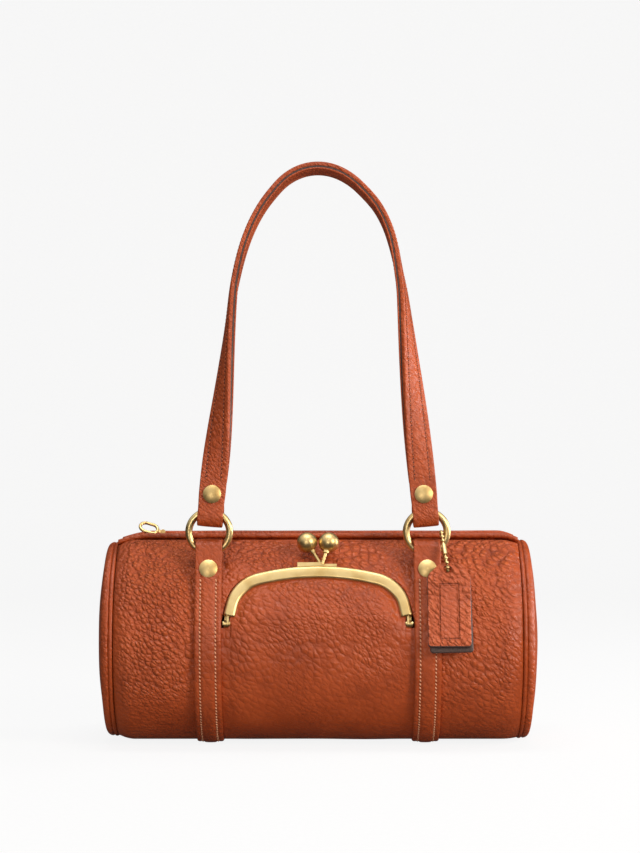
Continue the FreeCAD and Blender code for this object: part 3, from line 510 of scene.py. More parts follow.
def frontPanel():
    # one hide from the base up into the frame: it bends along the hinge line
    slits = [s * (kissLock["notchFrom"] + d) for s in (-1, 1) for d in (0, pocket["slit"])]
    xs = np.sort(np.concatenate([spread(-barrel["windowX"], barrel["windowX"], barrel["step"]), slits]))
    inside, notch = np.abs(xs) <= kissLock["notchFrom"] + 0.01, -kissLock["notchDrop"]
    topV = np.where(inside, np.maximum(archHeight(xs, pocket["inset"]), notch), notch)
    topTurn = turnOf(framePoint(xs, topV, pocket["out"]))
    turn = math.pi + (topTurn[:, None] - math.pi) * np.linspace(0, 1, pocket["rows"])
    x = np.broadcast_to(xs[:, None], turn.shape)
    rBarrel = barrelRadius(x, turn, softLift(x, turn))
    dirY, dirZ = -np.sin(turn), np.cos(turn)
    outY, outZ = -math.cos(frameLean), math.sin(frameLean)
    toHinge = -hingeY * outY + (barrel["axisHeight"] - hingeZ) * outZ
    rPlane = (pocket["out"] - toHinge) / (dirY * outY + dirZ * outZ)
    z = barrel["axisHeight"] + rBarrel * dirZ

    def upward(key):
        low, high = pocket[key]
        return smooth(hingeZ + low, hingeZ + high, z)

    def inward(key):
        reach, place = pocket[key]
        return smooth(0, reach, place - np.abs(x))

    bare = archInset(x, (z - hingeZ) / math.cos(frameLean)) - kissLock["bar"]
    nearEdge = np.clip(bare / pocket["bulgeOver"], 0, 1)
    swell = pocket["bulge"] * np.sin(nearEdge * math.pi / 2)
    swell = swell - pocket["tuck"] * (1 - smooth(0, pocket["tuckOver"], bare))
    wide, high = pocket["puckerSize"]
    puckers = pocket["puckers"] * ripple(x / wide, z / high, 2) * inward("puckerSide") * smooth(0, 1, nearEdge)
    r = rBarrel + (rPlane - rBarrel) * upward("lift") * inward("liftSide")
    r = r + swell * upward("swell") * inward("swellSide") + puckers
    points = np.stack([x, r * dirY, barrel["axisHeight"] + r * dirZ], -1) * mm
    obj = makeObject("pocketFront", points.reshape(-1, 3), gridFaces(*turn.shape), [bodyHide, liningCloth])
    edgeGrain = pocket["edgeGrain"] + (1 - pocket["edgeGrain"]) * np.clip(nearEdge * 3, 0, 1)
    setFloat(obj, "grain", (grainAmount(x, turn) * edgeGrain).reshape(-1))
    faceOut(obj, barrelMiddle)
    solidify(obj, pocket["wall"] * mm, lined=True)
    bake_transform(obj)
    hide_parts("pocket_flap", "pocket_crease")


def turnedSkin(name, profile, side, material, grain, steps=144):
    # profile of (x, radius) in mm, turned round the barrel's axis
    angles = np.linspace(0, wholeTurn, steps, endpoint=False)
    verts = [(side * x * mm, r * math.sin(a) * mm, (barrel["axisHeight"] + r * math.cos(a)) * mm)
             for x, r in profile for a in angles]
    obj = makeObject(name, verts, gridFaces(len(profile), steps, closeCols=True), material)
    setGrain(obj, grain)
    return obj


ends = {"start": 121.9, "radius": {-1: 57.7, 1: 59.1}, "rise": 8.2, "shoulder": 3.4, "wall": 1.5, "grain": 0.3,
        "tucked": ((1.6, 1.4), (0.6, 0.3)), "waves": 0.7, "waveLength": 13, "rim": 12,
        "cord": 1.3, "cordX": 119.6, "cordReach": {-1: 56.7, 1: 58.1}, "cordGrain": 0.18}


def endPanel(side, name):
    rimRadius, start, shoulder, rise = ends["radius"][side], ends["start"], ends["shoulder"], ends["rise"]
    reach = rimRadius - shoulder
    crown = (reach ** 2 + rise ** 2 - shoulder ** 2) / (2 * (rise - shoulder))
    turn = math.atan2(crown - rise, reach)
    profile = [(start - back, rimRadius - under) for back, under in ends["tucked"]]
    profile += [(start + shoulder * math.sin(a), reach + shoulder * math.cos(a))
                for a in np.linspace(0, turn, 12)]
    profile += [(start + rise - crown + crown * math.cos(a), crown * math.sin(a) + 0.02)
                for a in np.linspace(math.pi / 2 - turn, 0, 24)[1:]]
    obj = turnedSkin(name + "EndLeather", profile, side, [bodyHide, liningCloth], ends["grain"])
    co = np.array([v.co for v in obj.data.vertices]) / mm
    rim = smooth(0, ends["rim"], rimRadius - np.hypot(co[:, 1], co[:, 2] - barrel["axisHeight"]))
    length = ends["waveLength"]
    co[:, 0] += side * rim * ends["waves"] * ripple(co[:, 1] / length, co[:, 2] / length, 4 + side)
    obj.data.vertices.foreach_set("co", (co * mm).reshape(-1))
    faceOut(obj, barrelMiddle)
    solidify(obj, ends["wall"] * mm, lined=True)
    settle(obj, "bag", "pebbled_leather", name + "_end_panel")


def endPiping(side, name):
    profile = circle((ends["cordX"], ends["cordReach"][side]), ends["cord"], np.linspace(0, wholeTurn, 17))
    obj = turnedSkin(name + "PipingLeather", profile, side, bodyHide, ends["cordGrain"], 180)
    faceOut(obj)
    settle(obj, "bag", "smooth_leather", name + "_piping")


bodyShell()
frontPanel()
for side, name in leftAndRight:
    endPanel(side, name)
    endPiping(side, name)
print("barrel leather made")


# strips drawn along a path

def sweep(name, middles, acrosses, faces, sections, material):
    # sections: points (across, out) in mm round the strip, counter to the path
    rows, cols = len(middles), len(sections[0])
    verts = []
    for middle, across, face, ring in zip(middles, acrosses, faces, sections):
        verts += [np.asarray(middle) + (np.asarray(across) * a + np.asarray(face) * o) * mm for a, o in ring]
    cells = gridFaces(rows, cols, closeCols=True)
    cells += [tuple(range(cols - 1, -1, -1)), tuple(range((rows - 1) * cols, rows * cols))]
    obj = makeObject(name, verts, cells, material)
    faceOut(obj)
    return obj


def stripSection(width, low, high, crown=0.0, groove=None, rounding=0.6, count=22):
    # flat strip with rounded edges: top crowned between two stitch grooves
    half = width / 2
    inner = half - rounding
    top = []
    for a in np.linspace(inner, -inner, count):
        rise = crown * (1 - (a / half) ** 2)
        if groove:
            rise -= groove["deep"] * math.exp(-((abs(a) - groove["at"]) / groove["wide"]) ** 2)
        top.append((a, high + rise))
    left = [(-inner - rounding * math.sin(t), high - rounding * (1 - math.cos(t)))
            for t in np.linspace(0.3, math.pi / 2, 4)]
    lowRound = min(rounding, (high - low) / 2)
    leftLow = [(-inner - rounding * math.cos(t), low + lowRound * (1 - math.sin(t)))
               for t in np.linspace(0, math.pi / 2, 4)]
    right = [(-a, o) for a, o in reversed(left + leftLow)]
    return top + left + leftLow + right


# stitches: one modifier sets every stitch of a row set on its points

def stitchTree():
    tree = bpy.data.node_groups.new("stitches", "GeometryNodeTree")
    tree.interface.new_socket("Geometry", in_out="INPUT", socket_type="NodeSocketGeometry")
    for name, value in (("length", 1.5), ("width", 0.6), ("height", 0.45)):
        tree.interface.new_socket(name, in_out="INPUT", socket_type="NodeSocketFloat").default_value = value
    tree.interface.new_socket("thread", in_out="INPUT", socket_type="NodeSocketMaterial")
    tree.interface.new_socket("Geometry", in_out="OUTPUT", socket_type="NodeSocketGeometry")
    source = addNode(tree, "NodeGroupInput").outputs
    bead = addNode(tree, "GeometryNodeMeshUVSphere", {"Segments": 8, "Rings": 6, "Radius": 0.5})
    size = addNode(tree, "ShaderNodeCombineXYZ", {0: source["length"], 1: source["width"], 2: source["height"]})
    along, facing = (addNode(tree, "GeometryNodeInputNamedAttribute", {"Name": key}, data_type="FLOAT_VECTOR")
                     for key in ("along", "facing"))
    first = addNode(tree, "FunctionNodeAlignRotationToVector", {"Vector": along.outputs[0]}, axis="X")
    turn = addNode(tree, "FunctionNodeAlignRotationToVector",
                   {"Rotation": first.outputs[0], "Vector": facing.outputs[0]}, axis="Z", pivot_axis="X")
    points = addNode(tree, "GeometryNodeMeshToPoints", {"Mesh": source["Geometry"]})
    beads = addNode(tree, "GeometryNodeInstanceOnPoints", {
        "Points": points.outputs[0], "Instance": bead.outputs["Mesh"], "Rotation": turn.outputs[0],
        "Scale": size.outputs[0]})
    real = addNode(tree, "GeometryNodeRealizeInstances", {0: beads.outputs[0]})
    soft = addNode(tree, "GeometryNodeSetShadeSmooth", {0: real.outputs[0]})
    done = addNode(tree, "GeometryNodeSetMaterial", {0: soft.outputs[0], "Material": source["thread"]})
    addNode(tree, "NodeGroupOutput", {0: done.outputs[0]})
    return tree


stitchNodes = stitchTree()


def sew(name, body, spots, size, material):  # spots: (place, along, facing) in metres
    obj = makeObject(name, [s[0] for s in spots], [], material)
    for key, index in (("along", 1), ("facing", 2)):
        attribute = obj.data.attributes.new(key, "FLOAT_VECTOR", "POINT")
        attribute.data.foreach_set("vector", np.array([s[index] for s in spots], np.float32).reshape(-1))
    rows = obj.modifiers.new("stitches", "NODES")
    rows.node_group = stitchNodes
    sockets = {item.name: item.identifier for item in stitchNodes.interface.items_tree if item.in_out == "INPUT"}
    for key, value in zip(("length", "width", "height"), size):
        rows[sockets[key]] = value * mm
    rows[sockets["thread"]] = material
    sewn = bpy.data.meshes.new_from_object(obj.evaluated_get(bpy.context.evaluated_depsgraph_get()))
    obj.modifiers.remove(rows)
    obj.data = sewn
    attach(obj, body)


def rowSpots(middles, acrosses, faces, offset, lift, pitch, first=0.0):
    # evenly spaced stitch places along a strip, at one distance from its middle
    slant, near = 0.5, 0.3  # how far a stitch leans, and the mm before and after it that give its way
    line = np.asarray(middles) + (np.asarray(acrosses) * offset + np.asarray(faces) * lift) * mm
    gaps = np.linalg.norm(np.diff(line, axis=0), axis=1)
    run = np.concatenate([[0], np.cumsum(gaps)]) / mm

    def at(s, values):
        return np.array([np.interp(s, run, column) for column in np.asarray(values).T])

    spots = []
    for s in np.arange(first, run[-1], pitch):
        ahead, facing = at(s + near, line) - at(s - near, line), at(s, faces)
        spots.append((at(s, line), ahead + np.cross(facing, ahead) * slant, facing))
    return spots


def sewRows(name, body, strip, look, lift, first, size, material, flip=1):  # one row down each side of a strip
    spots = []
    for offset in (-look["stitchAt"], look["stitchAt"]):
        row = rowSpots(*strip, offset, lift, look["pitch"], first)
        spots += [(place, along, facing * flip) for place, along, facing in row]
    sew(name, body, spots, size, material)


# bands

ringLoop = {"ring": 11.9, "wire": 2.1, "clear": 0.4, "y": -41.0, "z": 126.0}
bandLook = {"width": 15.6, "thick": 1.9, "pinch": 9.6, "tail": 21.0, "backEnd": 19.0,
            "stitchAt": 4.5, "pitch": 2.35, "stitchFrom": 19.1, "stitch": (1.8, 0.9, 0.75),
            "needle": (0.6, 0.7, 0.4),
            "outer": 63.5, "clear": 0.1, "tuck": 0.1, "crown": (0.25, 0.9), "grain": 0.28, "faceSteps": 14,
            "groove": {"at": 4.5, "wide": 0.9, "deep": 0.65}}


def loopSizes(halfWidth):
    far = ringLoop["ring"] + ringLoop["wire"]
    near = math.sqrt((ringLoop["ring"] - ringLoop["wire"]) ** 2 - halfWidth ** 2)
    return (far + near) / 2, (far - near) / 2 + ringLoop["clear"]


def foldLine(loopRadius, layer, pinch, tail):
    # middle line of a strip folded round a ring, flat: along, in from the face; from the tail to the loop's end
    centre = np.array([0.0, loopRadius])
    corner = np.array([pinch, 2 * layer])
    reach = corner - centre
    turn = math.atan2(reach[1], reach[0]) + math.acos(loopRadius / np.hypot(*reach))
    half = loopRadius - layer / 2
    touch = centre + half * np.array([math.cos(turn), math.sin(turn)])
    line = [np.array([s, 1.5 * layer]) for s in np.linspace(tail, pinch + 1.2, 8)]
    line += [np.array([pinch - 0.6, 1.5 * layer + 0.25])]
    line += [line[-1] + (touch - line[-1]) * t for t in (0.35, 0.7)]
    return line + [np.array(p) for p in circle(centre, half, np.linspace(turn, 1.5 * math.pi, 18))]


def flatToSpace(line, start, along, inward):
    return [np.asarray(start) + (np.asarray(along) * p[0] + np.asarray(inward) * p[1]) * mm for p in line]


def stripFaces(middles, acrossWay):  # outward way of a strip from its path and its cross direction
    ahead = np.gradient(np.asarray(middles), axis=0)
    ahead /= np.linalg.norm(ahead, axis=1)[:, None]
    out = np.cross(ahead, np.asarray(acrossWay))
    return out / np.linalg.norm(out, axis=1)[:, None]


def leatherBand(side, name):
    width, thick, steps = bandLook["width"], bandLook["thick"], bandLook["faceSteps"]
    half = thick / 2
    drop, bore = loopSizes(width / 2)
    radius = bore + thick
    loopZ = ringLoop["z"] - drop
    up = loopZ - barrel["axisHeight"]
    reach, apart = math.hypot(ringLoop["y"], up), bandLook["outer"] - radius
    lean = math.atan2(up, -ringLoop["y"]) - math.acos(apart / reach)
    run = math.sqrt(reach ** 2 - apart ** 2)
    out = np.array([0, -math.cos(lean), math.sin(lean)])
    down = np.array([0, -math.sin(lean), -math.cos(lean)])
    start = np.array([side * barrel["bandX"], ringLoop["y"], loopZ]) * mm + out * radius * mm
    path = flatToSpace(foldLine(radius, thick, bandLook["pinch"], bandLook["tail"]), start, down, -out)
    faceFrom = len(path)
    path += [start + (down * s - out * half) * mm for s in np.linspace(1.5, run - 1.5, steps)]
    lastTurn = wholeTurn - math.asin(bandLook["backEnd"] / bandLook["outer"])
    turns = np.linspace(math.pi / 2 - lean + 0.02, lastTurn, 150)
    x = np.full(turns.shape, side * barrel["bandX"])
    path += list(barrelPoint(x, turns, bandLook["clear"] + half, soft=False))
    across = np.tile([1.0, 0, 0], (len(path), 1))
    faces = stripFaces(path, (1, 0, 0))
    drawnIn = np.min([softLift(x + width * s, turns) for s in (-0.5, -0.25, 0, 0.25, 0.5)], axis=0)
    sink = np.maximum(bandLook["clear"] - drawnIn, 0) + bandLook["tuck"]  # underside follows the drawn-in body
    sink = np.concatenate([np.zeros(faceFrom), sink[0] * smooth(4, steps, np.arange(steps)), sink])
    flat, full = bandLook["crown"]
    sections = []
    for k, low in enumerate(sink):
        worn = smooth(faceFrom + 2, faceFrom + 8, k)
        groove = {**bandLook["groove"], "deep": bandLook["groove"]["deep"] * worn}
        sections.append(stripSection(width, -half - low, half - flat, flat + (full - flat) * worn, groove))
    obj = sweep(name + "BandLeather", path, across, faces, sections, bodyHide)
    setGrain(obj, bandLook["grain"])
    settle(obj, "bag", "smooth_leather", name + "_band")
    strip = path[faceFrom:], across[faceFrom:], faces[faceFrom:]
    first, between = bandLook["stitchFrom"], bandLook["pitch"] / 2
    sewRows(name + "BandStitches", "bag", strip, bandLook, half - 0.1, first, bandLook["stitch"], thread)
    # dark beads between the stitches paint the shade in the stitch holes
    sewRows(name + "BandHoles", "bag", strip, bandLook, half - 0.25, first + between, bandLook["needle"],
            holeShade)


for side, name in leftAndRight:
    leatherBand(side, name)
print("bands made")


# strap

strapLook = {"width": 15.6, "layer": 1.5, "backing": 1.6, "gap": 0.1, "footX": 62.5, "lean": math.radians(9.5),
             "tilt": math.radians(5.06), "rise": 208.6, "crownRadius": 30.0, "crownAngle": math.radians(52),
             "pinch": 8.1, "end": 20.0, "twistEnd": 165.0, "twistPower": {-1: 2.1, 1: 1.35},
             "bow": {-1: 1.5, 1: 3.7}, "bowFrom": 140.0, "bowTop": 183.0,  # the arch's shoulders stand out
             "stitchAt": 4.4, "pitch": 2.4, "stitchFrom": 1.0, "stitch": (1.5, 0.8, 0.6),
             "needle": (0.9, 0.9, 0.5),
             "narrow": 0.8, "grain": 0.5, "underGrain": 0.4}
strapUp = np.array([0, math.sin(strapLook["lean"]), math.cos(strapLook["lean"])])
strapFront = np.array([0, -math.cos(strapLook["lean"]), math.sin(strapLook["lean"])])
strapGrow, strapBore = loopSizes(strapLook["width"] / 2 + barrel["bandX"] - strapLook["footX"])
strapRadius = strapBore + strapLook["layer"]
strapPlane = np.array([0, ringLoop["y"], ringLoop["z"] + strapGrow]) + strapFront * strapBore


def strapStations(side):
    leg, crown = math.pi / 2 - strapLook["tilt"], strapLook["crownAngle"]
    foot, top = strapLook["footX"], strapLook["crownRadius"]
    crownH = strapLook["rise"] - top
    bend = foot * math.sin(leg) - crownH * math.cos(leg) - top * math.cos(leg - crown)
    bend = bend / (1 - math.cos(leg - crown))
    centreX, centreH = (top - bend) * math.sin(crown), crownH + (top - bend) * math.cos(crown)
    startH, legEnd = strapLook["end"] * math.sin(leg), centreH + bend * math.cos(leg)
    line = [(foot - h / math.tan(leg), h) for h in np.linspace(startH, legEnd, 40)[:-1]]
    line += [(centreX + bend * math.sin(t), centreH + bend * math.cos(t))
             for t in np.linspace(leg, crown, 50)[:-1]]
    line += [(top * math.sin(t), crownH + top * math.cos(t)) for t in np.linspace(crown, 0, 24)]
    line = np.array(line)
    bowFrom, bowTop = strapLook["bowFrom"], strapLook["bowTop"]
    swell = upAndDown(bowFrom, bowTop, bowTop, strapLook["rise"], line[:, 1])
    line[:, 0] = side * (line[:, 0] + strapLook["bow"][side] * swell)
    ways = -side * np.gradient(line, axis=0)
    ways[-1] = (1, 0)
    ways /= np.linalg.norm(ways, axis=1)[:, None]
    found = []
    for (x, h), (wayX, wayUp) in zip(line, ways):
        part = min(1.0, max(0.0, (h - startH) / (strapLook["twistEnd"] - startH)))
        twist = math.pi / 2 * (1 - (1 - part) ** strapLook["twistPower"][side])
        normal = np.array([-wayUp, 0, 0]) + strapUp * wayX
        along = np.array([wayX, 0, 0]) + strapUp * wayUp
        face = strapFront * math.cos(twist) + normal * math.sin(twist)
        middle = (strapPlane + np.array([x, 0, 0]) + strapUp * h) * mm
        found.append((middle, np.cross(along, face), face))
    return found


def strapEnd(side):  # tail, loop and face run of one end, from the tail on
    layer, end = strapLook["layer"], strapLook["end"]
    along = np.array([-side * math.sin(strapLook["tilt"]), 0, 0]) + strapUp * math.cos(strapLook["tilt"])
    start = (strapPlane + np.array([side * strapLook["footX"], 0, 0]) + strapFront * layer) * mm
    line = foldLine(strapRadius, layer, strapLook["pinch"], end + 1)
    line += [np.array([s, layer / 2]) for s in np.linspace(1.5, end - 1.5, 12)]
    path = flatToSpace(line, start, along, -strapFront)
    crossWay = np.cross(along, strapFront)
    return path, np.tile(crossWay, (len(path), 1)), stripFaces(path, -crossWay)


def leatherStrap():
    stations = strapStations(-1) + strapStations(1)[::-1][1:]
    arch = middles, acrosses, faces = tuple(np.array([s[k] for s in stations]) for k in range(3))
    width, layer, backing = strapLook["width"], strapLook["layer"], strapLook["backing"]
    half = layer / 2
    left, right = strapEnd(-1), strapEnd(1)
    path = np.concatenate([left[0], middles + faces * half * mm, right[0][::-1]])
    across = np.concatenate([left[1], acrosses, -right[1][::-1]])
    out = np.concatenate([left[2], faces, right[2][::-1]])
    sections = []
    for k in range(len(path)):
        inward = min(k, len(path) - 1 - k) - len(left[0])  # stations past the folded end
        worn = smooth(-4, 6, inward)
        low = -half - (layer - 0.3) * smooth(-1, 2, inward)
        groove = {"at": strapLook["stitchAt"], "wide": 0.9, "deep": 0.4 * worn}
        wide = width - strapLook["narrow"] * (1 - smooth(-12, -4, inward))
        sections.append(stripSection(wide, low, half - 0.3, 0.15 + 0.45 * worn, groove))
    obj = sweep("strapFace", path, across, out, sections, strapHide)
    setGrain(obj, strapLook["grain"])
    settle(obj, "strap", "smooth_leather", "strap")
    edge = stripSection(width - 0.7, -layer - 0.8, -layer + 0.6, rounding=0.3)
    obj = sweep("strapEdge", *arch, [edge] * len(middles), edgePaint)
    settle(obj, "strap", "edge_painted_leather", "strap_backing")
    under = stripSection(width - 0.1, -layer - strapLook["gap"] - backing, -layer - 0.65, rounding=0.5)
    obj = sweep("strapUnderside", *arch, [under] * len(middles), strapHide)
    setGrain(obj, strapLook["underGrain"])
    settle(obj, "strap", "smooth_leather", "strap_backing")
    first, between = strapLook["stitchFrom"], strapLook["pitch"] / 2
    for name, lift, flip in (("strapStitches", layer - 0.05, 1), ("strapUnderStitches", -layer - backing, -1)):
        sewRows(name, "strap", arch, strapLook, lift, first, strapLook["stitch"], matchedThread, flip)
        # dark beads between the stitches paint the shade in the stitch holes
        sewRows(name + "Holes", "strap", arch, strapLook, lift - 0.1 * flip, first + between, strapLook["needle"],
                holeShade, flip)


leatherStrap()
print("strap made")


# zip

zipLook = {"halfLength": 118.4, "step": 2.0, "inner": 5.0, "low": 120.3, "thick": 1.6, "edge": 0.5, "roll": 1.45,
           "rollAt": 16.6, "rollTop": 124.4, "grain": 0.3,
           "drop": {-1: 4.0, 1: 2.6}, "dropFrom": {-1: 100.0, 1: 109.0}, "dropPower": 1.6,  # down to the seams
           "waves": 0.22, "waveLength": 16,
           "stitchAt": 8.0, "stitchTo": 113, "pitch": 2.2, "stitch": (1.6, 0.6, 0.45),
           "tapeInner": 3.05, "tapeOuter": 14.8, "tapeLow": 119.35, "tapeThick": 0.75,
           "shutFrom": {-1: 102.0, 1: 106.0}, "shutGap": 0.02}


def zipPath():
    xs = spread(-zipLook["halfLength"], zipLook["halfLength"], zipLook["step"])
    start, drop = (np.where(xs < 0, zipLook[key][-1], zipLook[key][1]) for key in ("dropFrom", "drop"))
    past = np.clip((np.abs(xs) - start) / (zipLook["halfLength"] - start), 0, 1)
    waves = zipLook["waves"] * ripple(xs / zipLook["waveLength"], 0 * xs, 6)
    return np.stack([xs, 0 * xs, waves - drop * past ** zipLook["dropPower"]], -1) * mm


def zipFacing(side, name):
    path = zipPath()
    across = np.tile([0, float(side), 0], (len(path), 1))
    up = np.tile([0, 0, 1.0], (len(path), 1))
    inner, low, edge, roll, at = (zipLook[key] for key in ("inner", "low", "edge", "roll", "rollAt"))
    high, rollMiddle = low + zipLook["thick"], zipLook["rollTop"] - roll
    section = [(inner + 0.3, low), (inner, low + edge), (inner, high - edge), (inner + edge, high)]
    section += [(a, high + 0.1 * math.sin(a)) for a in np.linspace(inner + 1.5, at - roll - 0.6, 6)]
    section += [(at - roll * math.cos(t), rollMiddle + roll * math.sin(t))
                for t in np.linspace(0.1, math.pi * 1.5, 18)]
    section += [(a, low) for a in np.linspace(at - 2, inner + 2, 5)]
    obj = sweep(name + "ZipFacing", path, across, up, [section] * len(path), bodyHide)
    setGrain(obj, zipLook["grain"])
    settle(obj, "bag", "smooth_leather", name + "_zip_facing")
    sewn = np.abs(path[:, 0]) < zipLook["stitchTo"] * mm
    spots = rowSpots(path[sewn], across[sewn], up[sewn], zipLook["stitchAt"], high + 0.15, zipLook["pitch"])
    sew(name + "ZipStitches", "bag", spots, zipLook["stitch"], thread)
    outer, tapeLow = zipLook["tapeOuter"], zipLook["tapeLow"]
    tapeHigh = tapeLow + zipLook["tapeThick"]
    tapes = []
    for x in path[:, 0] / mm:  # past the stops the two tapes meet
        shut = smooth(0, 2, abs(x) - zipLook["shutFrom"][1 if x > 0 else -1])
        near = zipLook["tapeInner"] + (zipLook["shutGap"] - zipLook["tapeInner"]) * shut
        widths = np.linspace(near + 1, outer, 6)
        tape = [(near, tapeLow), (near, tapeHigh)] + [(a, tapeHigh) for a in widths]
        tapes.append(tape + [(a, tapeLow) for a in widths[::-1]])
    obj = sweep(name + "ZipTape", path, across, up, tapes, tapeCloth)
    settle(obj, "bag", "zip_tape", name + "_zip_tape")


for side, name in ((-1, "front"), (1, "back")):
    zipFacing(side, name)


# kiss-lock frame: two brass arches on ears

def archPath(inset):
    kneeX, kneeY = archKnee(inset)
    bend, top = archBend - inset, archTop - inset
    spots = [(kneeX + (kneeY - v) / math.tan(archLeg), v, archLeg)
             for v in np.linspace(kissLock["foot"], kneeY, 8)[:-1]]
    spots += [(archBendX + bend * math.sin(t), archBendY + bend * math.cos(t), t)
              for t in np.linspace(archLeg, archCrown, 20)[:-1]]
    spots += [(top * math.sin(t), archBase + top * math.cos(t), t) for t in np.linspace(archCrown, 0, 24)]
    return [(-u, v, -t) for u, v, t in spots] + spots[::-1][1:]


archLook = {"narrow": 0.35, "narrowFrom": (0.75, 1.36), "crown": 0.35, "flat": 0.3, "rounding": 1.35}
ears = {"inner": {1: 51.2, -1: 52.6}, "wide": 1.2, "radius": 2.4, "neck": 5.5, "heel": 2.3, "bevel": 0.25}


def brassArch(front, name, body):  # front: 1 for the half that opens, -1 for the one on the bag
    spots = archPath(kissLock["bar"] / 2)
    origin = framePoint(0, 0, 0.0)
    outWay, upWay = framePoint(0, 0, 1.0) - origin, framePoint(0, 1.0, 0.0) - origin
    outWay, upWay = outWay / np.linalg.norm(outWay), upWay / np.linalg.norm(upWay)
    path = [framePoint(u, v, 0.0) for u, v, t in spots]
    across = [np.array([1, 0, 0]) * math.sin(t) + upWay * math.cos(t) for u, v, t in spots]
    split, thick = kissLock["split"], kissLock["thick"]
    sections = []
    for u, v, t in spots:
        narrow = archLook["narrow"] * smooth(*archLook["narrowFrom"], abs(t))
        high = split + thick - archLook["flat"]
        ring = stripSection(kissLock["bar"] - 2 * narrow, split, high, archLook["crown"],
                            rounding=archLook["rounding"], count=12)
        sections.append([(a + narrow, o * front) for a, o in ring])
    obj = sweep(name + "Arch", path, across, [outWay] * len(path), sections, frameBrass)
    settle(obj, body, "brass", name)
    radius, neck, heel = ears["radius"], ears["neck"], ears["heel"]
    ear = [(neck, split), (neck, radius), (0.0, radius)]
    ear += [(-radius * math.sin(a), radius * math.cos(a)) for a in np.linspace(0.2, math.pi, 14)]
    ear += [(0.0, -heel), (heel, split)]
    count = len(ear)
    for side, label in ((-1, "Left"), (1, "Right")):
        verts = [framePoint(side * (ears["inner"][front] + step), v, o * front)
                 for step in (0, ears["wide"]) for v, o in ear]
        faces = gridFaces(2, count, closeCols=True) + [tuple(range(count)), tuple(range(count, 2 * count))]
        obj = makeObject(name + label + "Ear", verts, faces, frameBrass, flat=True)
        faceOut(obj)
        bevel(obj, ears["bevel"] * mm)
        settle(obj, body, "brass", name)


brassArch(1, "front_frame", "front_frame")
brassArch(-1, "back_frame", "bag")
print("zip and frame made")


# pocket pouch, lining of the barrel and of the ends

pouch = {"around": 96, "rows": 22, "halfWidth": 49.2, "middle": 13.6, "halfHeight": 14.6, "square": (0.55, 0.7),
         "inset": 7.2, "centre": 13, "straight": 0.35, "closing": 0.4225, "sag": 20, "sagShare": (0.4, 0.6),
         "mouth": 3.8, "depth": 21, "folds": 0.8, "bottom": 0.25, "taper": 0.06, "wall": 0.6}


def squared(value, power):  # rounds a circle's sine or cosine out towards a box
    return math.copysign(abs(value) ** power, value)


def fabricPouch():
    count, rows, centre, bottom = pouch["around"], pouch["rows"], pouch["centre"], pouch["bottom"]
    verts = []
    for s in np.linspace(0, 1, rows):
        shrink = math.sqrt(max(0.0, 1 - max(0.0, s - pouch["straight"]) ** 2 / pouch["closing"]))
        for a in np.linspace(0, wholeTurn, count, endpoint=False):
            u = pouch["halfWidth"] * squared(math.cos(a), pouch["square"][0])
            v = pouch["middle"] + pouch["halfHeight"] * squared(math.sin(a), pouch["square"][1])
            v = min(v, float(archHeight(np.array(u), pouch["inset"])))
            even, low = pouch["sagShare"]
            sag = -pouch["sag"] * s * (even + low * max(0.0, -math.sin(a)))
            depth = -pouch["mouth"] - pouch["depth"] * s - pouch["folds"] * math.sin(5 * a + 9 * s) * s
            across = u * (bottom + (1 - bottom) * shrink) * (1 - pouch["taper"] * s)
            verts.append(framePoint(across, centre + (v - centre) * shrink + sag * 0.5, depth))
    faces = gridFaces(rows, count, closeCols=True) + [tuple(range((rows - 1) * count, rows * count))]
    obj = makeObject("pocketPouch", verts, faces, liningCloth)
    faceOut(obj)
    solidify(obj, pouch["wall"] * mm, 0)
    settle(obj, "bag", "lining", "pocket_pouch")


lining = {"halfLength": 116.5, "step": 2.4, "slotGap": 0.03, "under": 2.5, "wall": 0.6,
          "holeX": 58, "holeY": -20, "holeZ": (66, 114),  # the pouch passes through here
          "endBack": 0.4, "endWave": 0.3, "endWall": 0.5}


def barrelLining():
    xs = spread(-lining["halfLength"], lining["halfLength"], lining["step"])
    gap = slotTurn + lining["slotGap"]
    turns = spread(gap, wholeTurn - gap, lining["step"] / barrel["radius"])
    x, turn = np.meshgrid(xs, turns, indexing="ij")
    flat = barrelPoint(x, turn, -lining["under"], soft=False).reshape(-1, 3) / mm
    low, high = lining["holeZ"]
    kept = []
    for f in gridFaces(*x.shape):
        mid = flat[list(f)].mean(0)
        if not (abs(mid[0]) < lining["holeX"] and mid[1] < lining["holeY"] and low < mid[2] < high):
            kept.append(f)
    obj = makeObject("barrelLining", flat * mm, kept, liningCloth)
    faceOut(obj)
    solidify(obj, lining["wall"] * mm)
    settle(obj, "bag", "lining", "body_lining")


def endLining(side, name):
    low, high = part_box(name + "_end_lining")
    x = max(abs(low[0]), abs(high[0])) / mm - lining["endBack"]
    reach = (high[2] - low[2]) / mm / 2
    profile = [(x - lining["endWave"] * math.cos(9 * t) * t * (1 - t), reach * (1 - t) + 0.02)
               for t in np.linspace(0, 1, 24)]
    obj = turnedSkin(name + "EndLining", profile, side, liningCloth, 0.0, 96)
    faceOut(obj)
    solidify(obj, lining["endWall"] * mm, 0)
    settle(obj, "bag", "lining", name + "_end_lining")


fabricPouch()
barrelLining()
for side, name in leftAndRight:
    endLining(side, name)


# hang tag: two leaves with painted edges, bare faces

